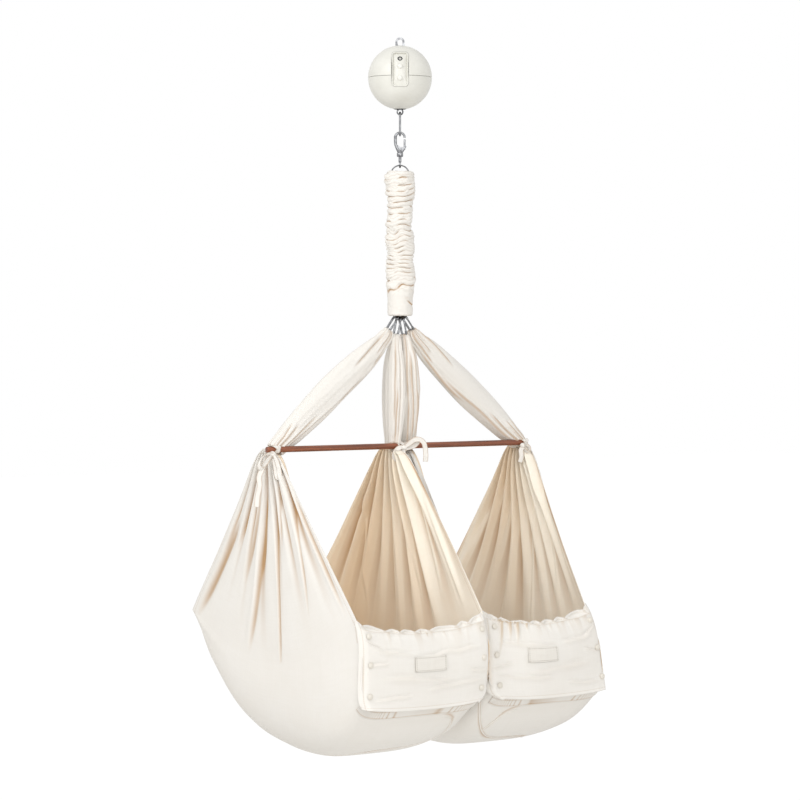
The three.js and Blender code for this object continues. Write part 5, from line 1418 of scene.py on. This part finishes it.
# Seams and bands sewn on the bowls: places are across the bowl (a) and front to back (s)

trimShape = {
    "band": {
        "across": (0.20, 0.74), "along": (0.014, 0.052), "flat": (0.034, 0.25), "counts": (20, 300), "ridges": 34,
        "ridge": 0.0016, "stand": 0.0012, "stitchSink": 0.0005, "thickness": 0.0008},
    "cord": {"route": [(0.515, 0.066), (0.56, 0.085), (0.60, 0.125), (0.62, 0.165)], "radius": 0.0011},
    "piping": {"route": pipingRoute, "radius": 0.0013},
}


def onCloth(word, side, a, s, offset):
    share = cotShape["wallShare"]
    t = mix(share, 1 - share, a)
    step = 0.002
    point = cotAt(side, s, t)
    along, across = cotAt(side, s + step, t) - point, cotAt(side, s, t + step) - point
    normal = along.cross(across).normalized() * -side
    return point + normal * (cotRelief(side, s, t, cotShape["seed"][word])[0] + offset)


def sewnCord(name, word, side, trim):
    points = smoothPath([(a, s, 0) for a, s in trim["route"]], 60)
    path = [onCloth(word, side, point.x, point.y, trim["radius"] * 0.8) for point in points]
    return carried(rodPiece(name, path, trim["radius"], 10, "ribbon"), word + "_hammock")


def shirredBand(word, side):
    band = trimShape["band"]

    def pointAt(u, v):
        return onCloth(word, side, mix(*band["across"], v), mix(*band["along"], u), band["stand"])

    def reliefAt(u, v):
        ridge = abs(sin(pi * band["ridges"] * v + 0.7 * rippled(v * 12, side * 3.0)))
        held = smooth(u * 6) * smooth((1 - u) * 6)
        lines = bump((u - 0.16) / 0.05) + bump((u - 0.84) / 0.05)
        offset = band["ridge"] * held * ridge**0.7 - band["stitchSink"] * lines
        # The second value is painted shade between the ridges and along the sunk stitch lines.
        return offset, -0.55 * held * smooth((0.6 - ridge) / 0.6) - 0.4 * lines

    bm = clothGrid(band["counts"], band["flat"], pointAt, reliefAt, flip=side > 0)
    piece = thickened(addPiece(word + "ShirredBand", bm, "ribbon"), band["thickness"])
    return carried(piece, word + "_hammock")


for word, side in sides.items():
    shirredBand(word, side)
    sewnCord(word + "CordedSeam", word, side, trimShape["cord"])
    sewnCord(word + "Piping", word, side, trimShape["piping"])
print("trims ready")


# Ribbons that tie the cloth to the bar: wraps, a knot, loops and tails

tieShape = {
    "width": 0.010, "thickness": 0.0010, "grip": 0.0016, "curl": 0.0006, "knotRadius": 0.0062,
    "knotScale": (1.15, 0.8, 0.85, 1), "knotTurn": 0.5, "uneven": 0.0004, "wrapSteps": 24,
    "left": {
        "wraps": [(-0.3235, 0.006, 0.4), (-0.3195, -0.005, 2.0)], "knot": (-0.3315, -0.0235, -0.8285),
        "strands": [  # a loop gives the way its width lies, a tail lies flat
            ((0.66, 0.62, 0.42), [(0, 0, 3), (-10, 1, 8), (-21, -7, 12), (-27, -20, 12), (-23, -29, 8), (-16, -25, 5),
                                  (-8, -13, 3), (-1, -3, 2)]),
            (None, [(-2, -3, 1), (-12, -14, 4), (-20, -27, 6), (-27, -45, 6), (-26, -62, 7), (-30, -82, 6),
                    (-32, -104, 7)]),
            ((0.88, 0.1, 0.46), [(2, -2, 3), (7, -12, 6), (12, -28, 8), (14, -44, 7), (11, -50, 5), (7, -42, 4),
                                 (5, -26, 3), (1, -8, 2)])],
    },
    "centre": {
        "wraps": [(-0.018, 0.012, 0.2), (-0.006, -0.006, 1.7), (0.006, 0.004, 0.9)], "knot": (-0.009, -0.0275, -0.8235),
        "strands": [
            (None, [(0, 0, 2), (-8, 1, 6), (-16, -4, 8), (-21, -14, 8), (-19, -25, 6), (-13, -27, 4), (-8, -19, 2),
                    (-4, -8, 1), (0, -2, 0)]),
            (None, [(0, 1, 2), (8, 8, 6), (17, 15, 8), (25, 18, 8), (27, 13, 6), (20, 5, 4), (10, 1, 2), (1, -1, 1)]),
            (None, [(1, 1, 3), (10, 9, 7), (20, 16, 10), (31, 17, 10), (39, 10, 10), (42, -2, 9), (43, -16, 10),
                    (42, -28, 10)]),
            (None, [(-1, -2, 2), (-4, -18, 5), (-2, -38, 6), (-5, -60, 7)])],
    },
    "right": {
        "wraps": [(0.3065, 0.005, 0.3), (0.3130, -0.004, 1.9)], "knot": (0.3035, -0.0245, -0.8270),
        "strands": [
            ((0.50, 0.45, 0.72), [(0, 0, 2), (7, 2, 5), (13, -3, 6), (14, -11, 5), (9, -13, 3), (4, -8, 1),
                                  (0, -2, 0)]),
            (None, [(0, -1, 2), (-4, -10, 4), (-3, -22, 5), (-6, -34, 6)])],
    },
}
# The strands run as the camera sees them: right, up and towards it, in millimetres from the knot
tieAxes = [Vector((cos(faceAngle), sin(faceAngle), 0)), Vector((0, 0, 1)), Vector((sin(faceAngle), -cos(faceAngle), 0))]


def onTie(way):
    return sum((axis * amount for axis, amount in zip(tieAxes, way)), Vector())


def ribbonStrip(points, acrossAt):
    width = tieShape["width"]

    def pointAt(u, v):
        curl = tieShape["curl"] * (1 - (2 * v - 1) ** 2)
        point = splinePoint(points, u)
        tangent = splinePoint(points, min(u + 0.01, 1)) - splinePoint(points, max(u - 0.01, 0))
        sideways = acrossAt(tangent, point)
        pinch = 1 - 0.4 * bump(u / 0.10)
        return point + sideways * (v - 0.5) * width * pinch + tangent.cross(sideways).normalized() * curl

    def reliefAt(u, v):
        # Painted shade darkens both edges of the ribbon, where it curls away.
        return 0.0, -0.5 * bump(min(v, 1 - v) / 0.08)

    length = sum((b - a).length for a, b in zip(points, points[1:]))
    return clothGrid((12 * (len(points) - 1), 6), (length, width), pointAt, reliefAt), length


def tieWrap(x, lean, start):
    ring = []
    for i in range(tieShape["wrapSteps"] + 1):
        turn = 2 * pi * i / tieShape["wrapSteps"]
        grown = barShape["radius"] + tieShape["grip"] + tieShape["uneven"] * sin(3 * turn + start)
        ring.append(Vector((
            x + lean * cos(turn + start), barShape["forward"] - grown * cos(turn),
            barShape["height"] + grown * sin(turn))))
    return ribbonStrip(ring, lambda tangent, centre: tangent.cross(
        Vector((0, centre.y - barShape["forward"], centre.z - barShape["height"]))).normalized())


def tieStrand(knot, axis, points):
    across = onTie(axis).normalized() if axis else None
    return ribbonStrip([Vector(knot) + onTie(point) * 0.001 for point in points], lambda tangent, centre: (
        across or tangent.cross(tieAxes[2]).normalized()))


def tieKnot(word):
    bm = bmesh.new()
    bmesh.ops.create_uvsphere(bm, u_segments=32, v_segments=20, radius=tieShape["knotRadius"])
    for vert in bm.verts:
        vert.co *= 1 + 0.16 * rippled(vert.co.x * 260 + len(word), vert.co.y * 260, vert.co.z * 260)
    place = Matrix.Translation(tieShape[word]["knot"]) @ Matrix.Rotation(tieShape["knotTurn"], 4, "Y")
    bmesh.ops.transform(bm, matrix=place @ Matrix.Diagonal(tieShape["knotScale"]), verts=bm.verts)
    return addPiece(word + "Knot", bm, "ribbon")


def tiePiece(word):
    tie = tieShape[word]
    strips = [tieWrap(*wrap) for wrap in tie["wraps"]] + [tieStrand(tie["knot"], *strand) for strand in tie["strands"]]
    bm = bmesh.new()
    for strip, length in strips:
        joinMesh(bm, strip)
    piece = thickened(addPiece(word + "Tie", bm, "ribbon"), tieShape["thickness"])
    carried(piece, "spreader", word + "_tie")
    carried(tieKnot(word), "spreader")


for word in ("left", "centre", "right"):
    tiePiece(word)
print("ties ready")


# Carried-over nodes get their finishes

nodeFinishes = {
    "ceiling_eye": "steel", "left_shell_screw": "steel", "right_shell_screw": "steel", "control_board": "board",
    "chassis": "inner", "gear_motor": "steel", "motor_pinion": "brass", "gear_axle": "steel", "drive_gear": "inner",
    "lift_rack": "steel", "guide_bush": "brass", "outlet_grommet": "rubber", "snap_hook_pin": "steel",
}
for name, finish in nodeFinishes.items():
    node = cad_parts[name]
    node.data.materials.clear()
    node.data.materials.append(materials[finish])
